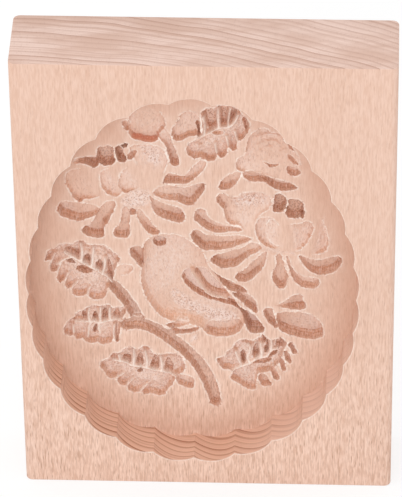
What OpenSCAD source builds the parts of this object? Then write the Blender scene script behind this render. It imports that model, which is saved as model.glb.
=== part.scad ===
// Carved wooden cookie mould: one beech block with a scalloped oval recess
// and a bird, two flowers, buds, leaves and a branch sunk into its floor.
// The block stands on its lower end: X to the right, Z along the grain, the
// carved face towards -Y, the origin in the middle of the lower end.

/* [Block] */
// Width of the block
block_w = 100; // [98:1:160]
// Height of the block, along the grain
block_h = 140; // [134:1:200]
// Thickness of the block
block_t = 22; // [18:0.5:40]
// Rounding of the four long edges
edge_r = 1.75; // [0.5:0.25:6]

/* [Recess] */
// Width of the oval, from notch to notch of its scalloped rim
oval_w = 86.6; // [70:0.2:88]
// Height of the oval, from notch to notch
oval_h = 119; // [90:1:124]
// How much the oval narrows towards its top
oval_taper = 0.075; // [0:0.005:0.12]
// Distance of the oval's middle from the block's middle
oval_shift = -3.6; // [-4:0.2:4]
// Height of the oval's middle above the lower end
oval_z = 68.6; // [66:0.2:72]
// Depth of the recess floor below the face
recess_depth = 10.5; // [6:0.5:13]
// Number of scallops around the rim
scallops = 29; // [23:1:37]
// How far a scallop at the oval's sides bulges past its two notches
side_bulge = 1.1; // [0.8:0.1:2.2]
// How far a scallop at the oval's top and bottom bulges past its two notches
end_bulge = 2; // [0.8:0.1:2.2]

/* [Carving] */
// Depth of the bird below the recess floor
bird_depth = 2.75; // [1:0.25:4]
// Depth of the wing and tail feathers
feather_depth = 3.75; // [1:0.25:4.5]
// Depth of the bird's eye
eye_depth = 4.5; // [1:0.25:5]
// Diameter of the bird's eye
eye_d = 3.6; // [2:0.2:5]
// Depth of the flower petals
petal_depth = 2.5; // [1:0.25:4]
// Depth of the buds
bud_depth = 2.25; // [1:0.25:4]
// Depth of the leaves
leaf_depth = 1.75; // [1:0.25:3]
// Depth of the small cuts between veins and petals
cell_depth = 3; // [1:0.25:4]
// Width of the branch
branch_w = 3.2; // [2:0.2:5]
// Depth of the branch
branch_depth = 2; // [1:0.25:4]

/* [Hidden] */
$fn = 96;
beech = [0.88, 0.70, 0.60];
// Reach of a cutting shape past the surface it starts from
over = 1;
// Reach of the sector that trims a twig's ring, in radii
sector_reach = 2;
face_y = -block_t / 2;
floor_y = face_y + recess_depth;
oval_centre = [oval_shift, oval_z];
// Turn of the scallops around the rim, as a share of one scallop
scallop_phase = -0.37;
rim_steps = 120;

// The carving's own drawing: its middle and the oval that it was drawn for
drawn_centre = [-3.6, 68.6];
drawn_oval = [86.6, 119];
fit = [oval_w / drawn_oval[0], oval_h / drawn_oval[1]];
fit_mean = (fit[0] + fit[1]) / 2;

// Each cut is a pocket between two arcs that share their ends:
// [from x, from z, to x, to z, bulge of the left arc, bulge of the right arc]
bird_head = [-10.3, 70.8, 6.8];
bird_body = [[-13.5, 76.5, 10, 47.5, 6, 15.7], [-21.2, 71.3, -15.5, 68.8, 2.6, 1.9]];
bird_eye = [-12.9, 75.1];
bird_feet = [
  [-10.8, 45.2, -6.2, 46.2, 0.9, 0.9], [-6.5, 45, -2.2, 46.8, 0.9, 0.9],
  [-9.8, 45.8, -8, 49, 0.7, 0.7], [-5, 45.8, -4.5, 49.3, 0.7, 0.7],
  [-6.3, 41.8, -2, 45.6, 0.9, 0.9], [-0.4, 44.3, 6.8, 44, 0.7, 1.1]
];
feathers = [
  [-6.3, 66, 6.5, 53.3, 1.4, 4], [3.6, 56.4, 13, 44.3, 2.4, 2.4],
  [-4.2, 67.2, 5.5, 58, 1.9, 1.5], [0, 67, 11.5, 57.5, 0.9, 1.5],
  [7, 58.8, 14.6, 50.4, 1.2, 1], [15.2, 53.6, 17.9, 45, 1.6, 1.6],
  [17.5, 54.3, 28.5, 54, 4.4, 0.8], [18.3, 49.4, 31.5, 47.4, 4.2, 5.1]
];
// Twigs of the branch: [from x, from z, to x, to z, bow to the right]
branch = [
  [1.6, 21, -15, 46, 3.4], [-15, 46, -23, 46.2, 1.5], [-16.4, 47.3, -25, 60.4, 0.6]
];
left_flower = [
  [-33.7, 87.8, -33, 101.3, 4.2, 4.4], [-24, 89.8, -24.5, 100.3, 3.6, 3.4],
  [-20, 89.7, -20.6, 99.4, 3, 3.2], [-16.5, 92, -15.5, 108, 4.8, 4.6],
  [-11.7, 95.4, 0, 101.8, 2.3, 2.3], [-14.2, 91.5, 0.2, 91.7, 2.9, 3.6],
  [-14.8, 89.8, -5.5, 82.8, 2.6, 3.2], [-18, 86.3, -13, 77.8, 1.5, 1.8],
  [-39.9, 86, -29, 85, 2.9, 3.2], [-26, 88.5, -31, 76.7, 2.4, 2.6],
  [-21.8, 88, -22.8, 76.3, 2.3, 2.2]
];
right_flower = [
  [9.5, 77, 11, 92.2, 5, 5.6], [20.5, 73.7, 14.8, 84, 3.4, 2],
  [21, 73.5, 22.5, 84.4, 4.7, 5], [25, 72.5, 29, 87.5, 3, 4.6],
  [-2.2, 87, 9.6, 79.6, -1.2, 5], [-4.5, 77.8, 10.5, 76.8, 1.6, 4.4],
  [0.6, 69.2, 14, 74, 2, 3], [7.2, 63.4, 15.6, 71.4, 1.2, 2.8],
  [19.2, 71.5, 19.8, 59.9, 2.2, 2.2], [21.3, 71, 29.8, 61.4, 1, 4],
  [24.7, 71.3, 35.6, 71, 0.6, 5.2]
];
buds = [
  [15.5, 98, 15, 113.4, 5, 5.4], [19, 101, 19.4, 110.8, 2.9, 2.9],
  [9.5, 98.3, 24.3, 94.2, 0.6, 3], [3.3, 93.5, 9.4, 98.8, 1.8, 1.8],
  [-15.6, 107.8, -15.5, 121, 5, 5.2]
];
leaves = [
  [-39, 67.8, -26.2, 60.6, 2.6, 4.4], [-36.4, 58.3, -26.8, 57.4, 1.6, 1.8],
  [-34, 68.6, -38.2, 73.9, 2.1, 2.1], [-31.6, 66.8, -33.2, 74.6, 1.5, 1.7],
  [-28.7, 64, -28.3, 73.6, 1.9, 1.9], [-25.6, 61.8, -25.4, 71, 1.4, 1.4],
  [-38.6, 43.6, -32.6, 49.8, 2.5, 2.5], [-36.4, 43.6, -25.6, 42, 1.5, 2.3],
  [-28.4, 42, -23.8, 47.2, 2, 2], [-34.6, 49.2, -23, 53, 1.2, 1.6],
  [-29.2, 32.6, -12, 25, 3, 4.4], [-26.2, 34, -15, 38.4, 1.8, 2.2],
  [-7, 30.8, -8.8, 36.8, 1.5, 1.5], [7.4, 31.4, 16.2, 30.4, 2.4, 2.4],
  [4.8, 37.6, 9.8, 33.4, 2, 1.8], [6.2, 29.6, 12.6, 25, 1.9, 1.9],
  [-6.4, 107.4, -2.4, 118.6, 4, 3], [-5.2, 105.6, 2, 102.5, 1.8, 1.8],
  [-3.6, 107, 8.6, 109.6, 1.8, 2]
];
cells = [
  [-38.8, 71.2, -34.2, 71.6, 1.1, 1.1], [-36.6, 66.6, -31, 65.2, 1.1, 1.2],
  [-41.2, 72.2, -42.7, 68.2, 1.1, 1.1], [-39.6, 68, -41.5, 64.5, 1.1, 1.1],
  [-38.3, 64.6, -40, 60.8, 1.1, 1.1], [-35.8, 62.2, -37.5, 58.9, 1, 1],
  [-30.3, 47.8, -30.5, 52.4, 1.1, 1.1], [-33.1, 48, -33.9, 51.8, 1, 1],
  [-27.8, 48, -27.5, 52.6, 0.9, 0.9], [-25, 48, -23.6, 52.2, 1.3, 1.3],
  [-30.2, 43, -30.2, 47, 1.3, 1.3], [-25.4, 40.8, -24.2, 45.2, 0.8, 0.8],
  [-20.8, 33, -23.4, 36.4, 1.2, 1.2], [-18.7, 32.6, -18.3, 38.2, 1.1, 1.1],
  [-14.8, 31.2, -14.6, 36.8, 1.2, 1.2], [-10.4, 29.4, -11.2, 35.2, 1.5, 1.5],
  [-9.2, 29, -3.9, 25.6, 1.8, 1.8], [2.2, 35.2, 4.6, 32.1, 1.2, 1.2],
  [8.2, 38.8, 9.6, 34.6, 1.1, 1.1], [8.4, 41.8, 12.3, 40.4, 1.2, 1.2],
  [12.8, 35.8, 12.6, 41, 1.1, 1.1], [14.4, 40.6, 15.3, 43.9, 0.9, 0.9],
  [18.2, 39.3, 20.3, 42.9, 1.3, 1.3], [16.1, 36, 18.7, 37.9, 0.9, 0.9],
  [11.9, 33.8, 15.9, 35.6, 0.9, 0.8], [21, 38.6, 22.3, 34.3, 0.8, 0.8],
  [22.1, 41.2, 23.8, 37.5, 0.8, 0.8], [19.6, 35.6, 20.7, 31.6, 0.8, 0.8],
  [17.1, 33, 18.7, 28.3, 1, 1], [15, 30.2, 15.7, 26.2, 1.3, 1.3],
  [0.4, 113, 1.6, 118.9, 1.3, 1.3], [4.4, 114.6, 4.8, 119.7, 1, 1],
  [1, 111, 5.1, 111.9, 0.9, 0.9], [6.1, 117.3, 8.5, 118.9, 0.8, 0.8],
  [9.4, 112.6, 10.9, 116, 1, 1], [3.9, 103.5, 3.8, 107.4, 1.2, 1.2],
  [6.8, 105.8, 6.8, 109, 1.1, 1.1], [-35.3, 101.2, -28.1, 101.5, 1.5, 1.4],
  [-28, 101.6, -24.2, 106.6, 1.4, 1.3], [-22.9, 107, -22, 101.5, 1.3, 1.3],
  [-19.9, 102, -18.2, 105.2, 0.9, 0.9], [2.6, 91.8, 6, 83, 0.5, 1.6],
  [17.6, 85.6, 19.5, 91.8, 1.6, 1.6], [21, 84.4, 24.9, 90, 1.8, 1.8],
  [20, 108, 23.2, 104.7, 0.9, 0.9], [20.8, 105, 24.4, 101.8, 0.9, 0.9],
  [18.8, 99.4, 24.8, 98.5, 1.6, 1.8]
];
bud_stem = [-11.6, 111.6, -8.6, 100.2, 1.2, 1.5];

// Point of the oval at a turn, from its own middle
function oval_at(turn) = [
  oval_w / 2 * cos(turn) * (1 - oval_taper * sin(turn)),
  oval_h / 2 * sin(turn)
];

// Lengths along the oval against the turn, so that the scallops are equally wide
rim_step = 360 / rim_steps;
rim_runs = [
  for (
    i = 0, run = 0;
    i <= rim_steps;
    i = i + 1,
    run = run + norm(oval_at(i * rim_step) - oval_at((i - 1) * rim_step))
  ) [run, i * rim_step]
];
rim_length = rim_runs[rim_steps][0];

// Turn of a notch, with the notches evenly along the oval
function notch_turn(i) = let (share = (i + scallop_phase + scallops) / scallops)
  lookup(rim_length * (share - floor(share)), rim_runs);
function notch(i) = oval_at(notch_turn(i));
// Bulge of the scallop after a notch, by the turn of its middle
function scallop_bulge(i) = side_bulge
  + (end_bulge - side_bulge) * pow(sin(notch_turn(i + 0.5)), 2);

// Middle of the arc that bulges to the left of a chord
function arc_radius(chord, bulge) = (chord * chord / 4 + bulge * bulge) / (2 * bulge);
function arc_centre(a, b, bulge) = let (run = b - a, chord = norm(run))
  (a + b) / 2 + (bulge - arc_radius(chord, bulge)) * [-run[1], run[0]] / chord;

// Place of a drawn point on the recess floor
function placed(p) = oval_centre
  + [fit[0] * (p[0] - drawn_centre[0]), fit[1] * (p[1] - drawn_centre[1])];

// Scalloped outline: a disc for every scallop, and the field between them
module rim_outline() {
  scallop_centres = [
    for (i = [0 : scallops - 1]) arc_centre(notch(i + 1), notch(i), scallop_bulge(i))
  ];
  translate(oval_centre) {
    polygon(scallop_centres);
    for (i = [0 : scallops - 1])
      translate(scallop_centres[i])
        circle(arc_radius(norm(notch(i + 1) - notch(i)), scallop_bulge(i)));
  }
}

// Disc through two points, bulging to the left of the way from a to b
module arc_disc(a, b, bulge) {
  translate(arc_centre(a, b, bulge))
    circle(arc_radius(norm(b - a), bulge));
}

// Pocket outline between two arcs: a leaf shape, or a crescent if one bulge is negative
module cut_outline(cut) {
  a = placed([cut[0], cut[1]]);
  b = placed([cut[2], cut[3]]);
  left = fit_mean * cut[4];
  right = fit_mean * cut[5];
  if (left < 0) {
    difference() {
      arc_disc(b, a, right);
      arc_disc(b, a, -left);
    }
  } else {
    intersection() {
      arc_disc(a, b, left);
      arc_disc(b, a, right);
    }
  }
}

// Bent channel with round ends, a branch of the carving
module branch_outline(twig) {
  a = placed([twig[0], twig[1]]);
  b = placed([twig[2], twig[3]]);
  bow = fit_mean * twig[4];
  centre = arc_centre(b, a, bow);
  radius = arc_radius(norm(b - a), bow);
  intersection() {
    difference() {
      translate(centre) circle(radius + branch_w / 2);
      translate(centre) circle(radius - branch_w / 2);
    }
    polygon([centre, centre + sector_reach * (b - centre), centre + sector_reach * (a - centre)]);
  }
  for (end = [a, b])
    translate(end) circle(branch_w / 2);
}

// Stands a flat drawing on the carved side and sinks it from a level, going back
module sunk(from_y, depth) {
  translate([0, from_y + depth, 0])
    rotate([90, 0, 0])
      linear_extrude(depth + over)
        children();
}

module block_blank() {
  inner = [block_w - 2 * edge_r, block_t - 2 * edge_r];
  linear_extrude(block_h) {
    square([block_w, inner[1]], center = true);
    square([inner[0], block_t], center = true);
    for (x = [-1, 1], y = [-1, 1])
      translate([x * inner[0] / 2, y * inner[1] / 2])
        circle(edge_r);
  }
}

module cuts(list) {
  for (cut = list)
    cut_outline(cut);
}

module carved_block() {
  color(beech)
    difference() {
      block_blank();
      sunk(face_y, recess_depth) rim_outline();
      sunk(floor_y, bird_depth) {
        cuts(bird_body);
        translate(placed(bird_head)) circle(fit_mean * bird_head[2]);
      }
      sunk(floor_y, feather_depth) cuts(feathers);
      sunk(floor_y, eye_depth) translate(placed(bird_eye)) circle(d = eye_d);
      sunk(floor_y, petal_depth) {
        cuts(left_flower);
        cuts(right_flower);
      }
      sunk(floor_y, bud_depth) cuts(concat(buds, [bud_stem]));
      sunk(floor_y, leaf_depth) cuts(leaves);
      sunk(floor_y, cell_depth) cuts(concat(cells, bird_feet));
      sunk(floor_y, branch_depth)
        for (twig = branch)
          branch_outline(twig);
    }
}

carved_block();
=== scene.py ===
# Carved beech cookie mould: the block with its scalloped recess, the sunk carving, the wood.
import math
from collections import namedtuple

import bmesh
import bpy
import numpy as np
from mathutils import Matrix, Vector
from mathutils.geometry import delaunay_2d_cdt


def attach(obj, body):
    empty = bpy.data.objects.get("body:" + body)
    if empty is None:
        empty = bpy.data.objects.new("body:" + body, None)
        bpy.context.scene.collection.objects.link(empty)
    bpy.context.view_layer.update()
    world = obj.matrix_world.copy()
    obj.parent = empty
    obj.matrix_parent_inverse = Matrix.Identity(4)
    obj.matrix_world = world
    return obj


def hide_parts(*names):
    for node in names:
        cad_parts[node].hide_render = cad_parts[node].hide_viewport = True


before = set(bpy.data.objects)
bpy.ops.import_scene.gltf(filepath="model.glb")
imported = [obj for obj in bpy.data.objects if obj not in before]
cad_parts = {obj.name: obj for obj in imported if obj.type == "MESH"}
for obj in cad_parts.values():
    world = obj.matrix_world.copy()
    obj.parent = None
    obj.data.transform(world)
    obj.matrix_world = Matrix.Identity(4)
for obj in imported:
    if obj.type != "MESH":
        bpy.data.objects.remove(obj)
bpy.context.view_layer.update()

MM = 0.001

# Sizes of the block and its recess, in millimetres
BLOCK = {
    "Width": 100.0, "Height": 140.0, "Thickness": 22.0, "Edge radius": 1.75,
    "Oval width": 86.6, "Oval height": 119.0, "Oval shift": -3.6, "Oval middle": 68.6,
    "Recess depth": 10.5, "Side bulge": 1.1, "End bulge": 2.0,
}
SHARES = {"Oval taper": 0.075, "Scallop turn": -0.37}
COUNTS = {"Scallops": 29, "Scallop steps": 14, "Round steps": 7, "Oval points": 360}
FACE_Y = -BLOCK["Thickness"] / 2
FLOOR_Y = FACE_Y + BLOCK["Recess depth"]
# Sharp edges are eased by this much at the block's ends and at the lip of the recess
END_EASE = 0.3
RIM_EASE = 0.36
# Faces meeting at more than this turn have a crisp edge between them
SHARP_TURN = math.radians(38)
# Shares of a face's normal along an axis: above the first two it is dead square to it or faces that way,
# and below the last it is edge-on
DEAD_SQUARE = 0.9999
FACING = 0.99
EDGE_ON = 0.1
# Places this near to each other are the same, in metres
NEAR = 1e-6
# Points nearer than this are joined, in the block and then between the block and its floor
SEAM = 0.002
WELD = 0.001
# Keeps divisions from nothing
TINY = 1e-12

# The carving on the recess floor, in millimetres: across and up. Outlines are smooth through their points.

# Narrow petals: shallow at their first point, deepest at the far end
FINGERS = [
    [(-28.2, 85.5), (-29.1, 84.1), (-30.9, 83), (-33.2, 82), (-35.4, 82), (-37.6, 82.8), (-39.1, 83.9),
     (-39.7, 85.3), (-39.2, 87.2), (-38.1, 88.1), (-36.5, 88.1), (-34.8, 87.9), (-32.6, 87.6), (-30.4, 87.4),
     (-28.9, 86.7)],
    [(-24.4, 88.7), (-24.1, 87.3), (-24.5, 85.6), (-25.4, 83.4), (-26.3, 81.1), (-27.3, 79.7), (-27.3, 77.2),
     (-28.4, 76.3), (-30.7, 76.5), (-32.6, 77.4), (-33.3, 78.5), (-32.6, 79.9), (-31, 80.6), (-29.9, 82.2),
     (-28.9, 84.4), (-27.7, 86.9), (-26.2, 88.3)],
    [(-21.5, 86.6), (-20.5, 85.7), (-20.4, 82.9), (-20.6, 80.7), (-20.4, 77.9), (-21.1, 76.6), (-22.9, 76.4),
     (-24.7, 77), (-24.8, 78.4), (-23.9, 80), (-23, 81.2), (-22.6, 83.1), (-22.4, 85.6)],
    [(-17.8, 86), (-17, 85.2), (-15.9, 83.5), (-14.2, 80.8), (-12.4, 78.6), (-12.9, 77.8), (-14.2, 77.5),
     (-15.5, 78), (-16.8, 79.9), (-17.9, 82.1), (-18.7, 84.9)],
    [(-15.1, 90.2), (-13.8, 89.4), (-11.4, 88.1), (-9.2, 87.3), (-7, 86.5), (-5.8, 84.3), (-6, 82.4),
     (-7.5, 81.8), (-9.7, 82.4), (-11.9, 83.3), (-13.9, 85.2), (-14.5, 87.4)],
    [(-14, 91.3), (-13.1, 93), (-10.9, 93.9), (-8.7, 93.9), (-6, 93.4), (-3.8, 94), (-2.1, 94.8),
     (-0.5, 94.6), (-0.3, 92.7), (-1.7, 90.5), (-3, 88.5), (-4.1, 87.4), (-6.1, 87.9), (-7.9, 89),
     (-10.5, 89.2), (-12.7, 90.1)],
    [(0, 101.7), (-0.3, 99.8), (-1.6, 98.1), (-2.9, 96.5), (-4.3, 95.1), (-6, 94.5), (-8.6, 94.6),
     (-10.8, 94.7), (-11.4, 94.9), (-10.8, 96.9), (-9.7, 98), (-8.2, 97.7), (-6, 97.2), (-4.6, 98.6),
     (-2.9, 100.8), (-1.3, 102.2)],
    [(9.5, 79.6), (8.6, 79), (6.2, 79), (3.5, 78.5), (1.3, 78.9), (-0.5, 80.1), (-2.2, 81.6), (-3.3, 83),
     (-3.1, 84.9), (-2.4, 86.1), (-1.3, 86.5), (-0.4, 86), (0, 84.7), (0.8, 83.3), (2.2, 82.2), (4.4, 81.3),
     (6.6, 80.8), (8.4, 80.4)],
    [(11.9, 76.6), (11, 75.7), (9.3, 74.9), (7, 73.7), (4.8, 73.1), (2.1, 72.7), (-0.1, 72.6), (-1.9, 73.5),
     (-3.4, 75.2), (-4.4, 77.4), (-3.8, 78.8), (-2.7, 79.4), (-1.3, 78.8), (-0.5, 78), (1.3, 77.7),
     (4, 77.4), (6.6, 77.6), (8.8, 77.8), (10.6, 77.3)],
    [(14.1, 74.8), (14.6, 73.6), (13.7, 72.4), (12.3, 71.5), (11, 70.7), (9.7, 69.2), (7.9, 67.5),
     (5.6, 66.7), (3.4, 67), (1.9, 68), (1, 69.1), (1.5, 70.5), (2.8, 71.4), (4.8, 72), (7, 72.7),
     (9.2, 73.7), (11, 74.9), (12.6, 75.5)],
    [(15.7, 72.5), (15.9, 71.1), (15.4, 68.5), (14.6, 66.5), (13.2, 64.8), (11.9, 63.1), (10.1, 62.1),
     (8.3, 62.3), (7.4, 63.6), (8.1, 65), (9.7, 66.1), (11, 67.6), (12.3, 69.3), (13.7, 70.7), (15, 72.2)],
    [(19.1, 71.9), (19.9, 71.1), (20.3, 69.2), (21, 66.4), (21.7, 64.1), (21.2, 61.9), (20.6, 60.4),
     (19.2, 60.1), (18.1, 61.5), (17.4, 63.8), (17.7, 65.7), (18.3, 67.5), (18.6, 69.1), (18.3, 70.8)],
    [(21, 71.2), (21.9, 70.3), (22.3, 68.1), (23.5, 65.9), (25.2, 64.5), (27.5, 64), (29.2, 63.8),
     (30.1, 62.9), (29.7, 61.2), (28.4, 60.2), (26.1, 60.4), (23.9, 61.9), (22.6, 64.1), (21.9, 67),
     (21.2, 69.2)],
    [(24.6, 71.2), (25.7, 71), (27.4, 70.2), (29.7, 70), (31.9, 70.5), (34.1, 71.2), (35.6, 70.9),
     (35.8, 68.9), (34.8, 66.9), (32.8, 65.5), (30.6, 64.9), (28.4, 65.4), (26.6, 67.1), (25.2, 69.3)],
    [(9.2, 98.5), (8.9, 97.3), (8, 95.3), (6.7, 93.6), (5.2, 92.9), (3.9, 92.9), (3.3, 93.6), (3.7, 95),
     (4.8, 96.6), (6.3, 98), (8.1, 98.8)],
]

# Broad petals, buds, a stem and tail feathers: depth, shallow point, deep point, outline
SCOOPS = [
    (1.7, (-28.4, 95), (-35.5, 91.5), [(-37.1, 95.8), (-36.7, 97.5), (-35.4, 98.6), (-33.2, 99.1),
     (-31, 99.2), (-28.8, 99.3), (-27.9, 98.2), (-28, 96), (-28, 93.8), (-28.1, 91.6), (-28.5, 89.9),
     (-30.3, 89.3), (-32.1, 89), (-33.2, 88.2), (-34.1, 88.2), (-35.2, 89.8), (-36.2, 92), (-36.9, 93.9)]),
    (1.5, (-22.5, 96), (-27.5, 93.5), [(-27.9, 96.5), (-27.7, 97.9), (-26.6, 98.8), (-24.8, 98.8),
     (-23.5, 98.3), (-22.2, 97.5), (-21.4, 95.6), (-21.9, 92.8), (-22.8, 90.9), (-23.9, 90), (-25.4, 90.5),
     (-26.7, 91.6), (-27.6, 93.5)]),
    (1.5, (-17, 96.5), (-23, 93.5), [(-22.9, 96.1), (-22.2, 98), (-21.3, 99.1), (-20, 100), (-18.7, 100),
     (-17.4, 98.9), (-16.5, 96.8), (-16.7, 94), (-18.1, 92.6), (-19.7, 91.9), (-21, 91.3), (-22.3, 91.9),
     (-23.1, 93.1), (-23.2, 94.4)]),
    (1.3, (-17, 97), (-13, 107), [(-19.9, 105.4), (-19.4, 106.8), (-17.2, 107.2), (-14.6, 107.1),
     (-12.4, 106.6), (-11.1, 105.6), (-10.5, 103.4), (-10.3, 101.8), (-10.8, 99.6), (-11.7, 97.4),
     (-13, 94.6), (-14.4, 92.7), (-15.7, 91.8), (-16.6, 92.9), (-16.5, 95.7), (-17.1, 98.9), (-18.2, 101.1),
     (-19, 103.3)]),
    (2.1, (-14.5, 121), (-15.5, 111), [(-20.2, 113.5), (-19.9, 115.7), (-18.7, 117.8), (-17, 119.2),
     (-14.8, 119.5), (-12.6, 118.5), (-11.4, 116.9), (-10.5, 114.8), (-10.7, 112.6), (-11.7, 111.1),
     (-12.4, 109.8), (-12.8, 108.5), (-14.6, 108.1), (-16.7, 108.5), (-18.9, 109.1), (-19.8, 110.3),
     (-20.2, 111.9)]),
    (2.6, (-12.5, 116), (-8, 102), [(-10.8, 112.5), (-9.4, 110.5), (-8.5, 107.3), (-7.6, 104.6), (-7, 101.8),
     (-7.7, 100.3), (-8.9, 100.7), (-9.7, 102.9), (-10.1, 105.1), (-10.7, 107.2), (-11.8, 109.1),
     (-12.4, 111.2)]),
    (3.2, (-35.5, 99.5), (-30, 102), [(-35.1, 101.3), (-33.9, 102.5), (-31.7, 102.9), (-29.1, 103),
     (-28.2, 102.3), (-28.2, 100.4), (-29.2, 99.5), (-30.5, 100), (-32.2, 100.7), (-34.4, 100.7)]),
    (1.6, (20.5, 79), (14, 78), [(13, 81.3), (13.5, 83), (14.6, 83.8), (16.4, 83.9), (18.1, 83),
     (19.4, 81.5), (20.1, 79.3), (20.6, 76.5), (21.7, 74), (21.2, 73.4), (18.6, 73.4), (16.3, 73.9),
     (14.6, 75.2), (13.5, 76.9), (13, 79.1)]),
    (1, (20.5, 79), (16, 79), [(17, 83), (16.1, 81.4), (15.8, 79.2), (16, 76.9), (16.8, 75.2), (18.6, 74.3),
     (20.1, 74.7), (20.2, 76.5), (19.8, 79.3), (19, 81.4), (18, 82.6)]),
    (1.8, (20.9, 78), (27, 79), [(20.1, 80.4), (21.2, 81.2), (23, 81.7), (24.7, 82.1), (26.5, 82.7),
     (27.8, 82.2), (28.3, 80.5), (27.8, 78.3), (26.8, 76), (25.4, 74.1), (23.9, 72.9), (22.3, 73.4),
     (21.2, 75.1), (20.4, 77.6)]),
    (1.8, (28, 78), (33, 77), [(26.5, 85.5), (27.6, 86.9), (29.1, 86.4), (30.2, 84.5), (31.1, 81.7),
     (31.8, 78.9), (32.3, 76.2), (31.9, 73.6), (30.5, 72.2), (28.3, 71.9), (26.1, 71.8), (24.5, 72.4),
     (25.9, 74.1), (27.4, 76.1), (28.3, 78.6), (28.5, 80.8), (28, 82.8), (26.9, 83.8)]),
    (2.3, (13, 79), (5, 89), [(2.5, 90), (3, 91.2), (4.1, 91.6), (5.8, 90.9), (8, 90.5), (9.8, 91.8),
     (12, 92.2), (14.6, 91.9), (16.4, 90.8), (17.2, 88.9), (16.4, 87), (15, 85.5), (13.7, 84.4),
     (12.8, 82.7), (12.6, 80.2), (12.4, 78), (11.5, 77.7), (10.2, 79.1), (8.8, 81), (6.6, 81.4), (5.3, 82.4),
     (4.9, 84), (4.5, 86.2), (3.6, 87.8), (2.7, 88.9)]),
    (1.9, (17, 93), (11, 110), [(7.9, 101.1), (8.5, 103), (10.1, 104.1), (10.6, 106), (10.9, 108.7),
     (11.8, 110.9), (13.4, 112.3), (15.1, 113), (16.2, 112.8), (16.8, 111.8), (18.6, 111.6), (19.9, 110.8),
     (20.4, 109.2), (22.1, 107.8), (23.4, 105.7), (24.2, 103.5), (24.7, 101.4), (24.9, 99.5), (24.3, 98.1),
     (22.9, 97), (21.2, 96.7), (19.4, 97), (17.3, 97.5), (15.1, 98), (12.4, 98.4), (10.2, 98.6),
     (8.3, 99.5)]),
    (2.5, (16, 102), (17, 95), [(9.7, 97.8), (10, 98.6), (11.6, 98.9), (13.3, 98.4), (15.1, 97.9),
     (17.3, 97), (19.4, 96.4), (21.6, 95.6), (23.4, 94.5), (24, 93.8), (23, 93.2), (21.2, 92.8), (19, 93.1),
     (17.2, 94), (15.5, 95.5), (13.7, 95.7), (11.6, 95.9), (10.2, 96.8)]),
    (0.9, (-24.5, 63.5), (-21, 66.5), [(-24.3, 66.4), (-22.4, 67.3), (-20.1, 67), (-20.2, 65.2), (-22, 63.9),
     (-24, 64.2)]),
    (2.9, (17, 54), (25, 55), [(18.1, 54.3), (19.9, 55.1), (22.3, 57.1), (24.1, 58.1), (25.4, 57.6),
     (25.7, 56), (26.6, 54.5), (26, 53.2), (23.6, 52.9), (20.5, 53.4)]),
    (3.5, (16, 58), (24, 47), [(18.4, 50.8), (19.3, 51.8), (22.3, 52.1), (26, 51.9), (28.7, 50.7),
     (30.6, 48), (31.2, 44.9), (30.3, 43.3), (27.2, 42.8), (23.6, 43.8), (20.5, 45), (19, 46.9)]),
]

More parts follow.
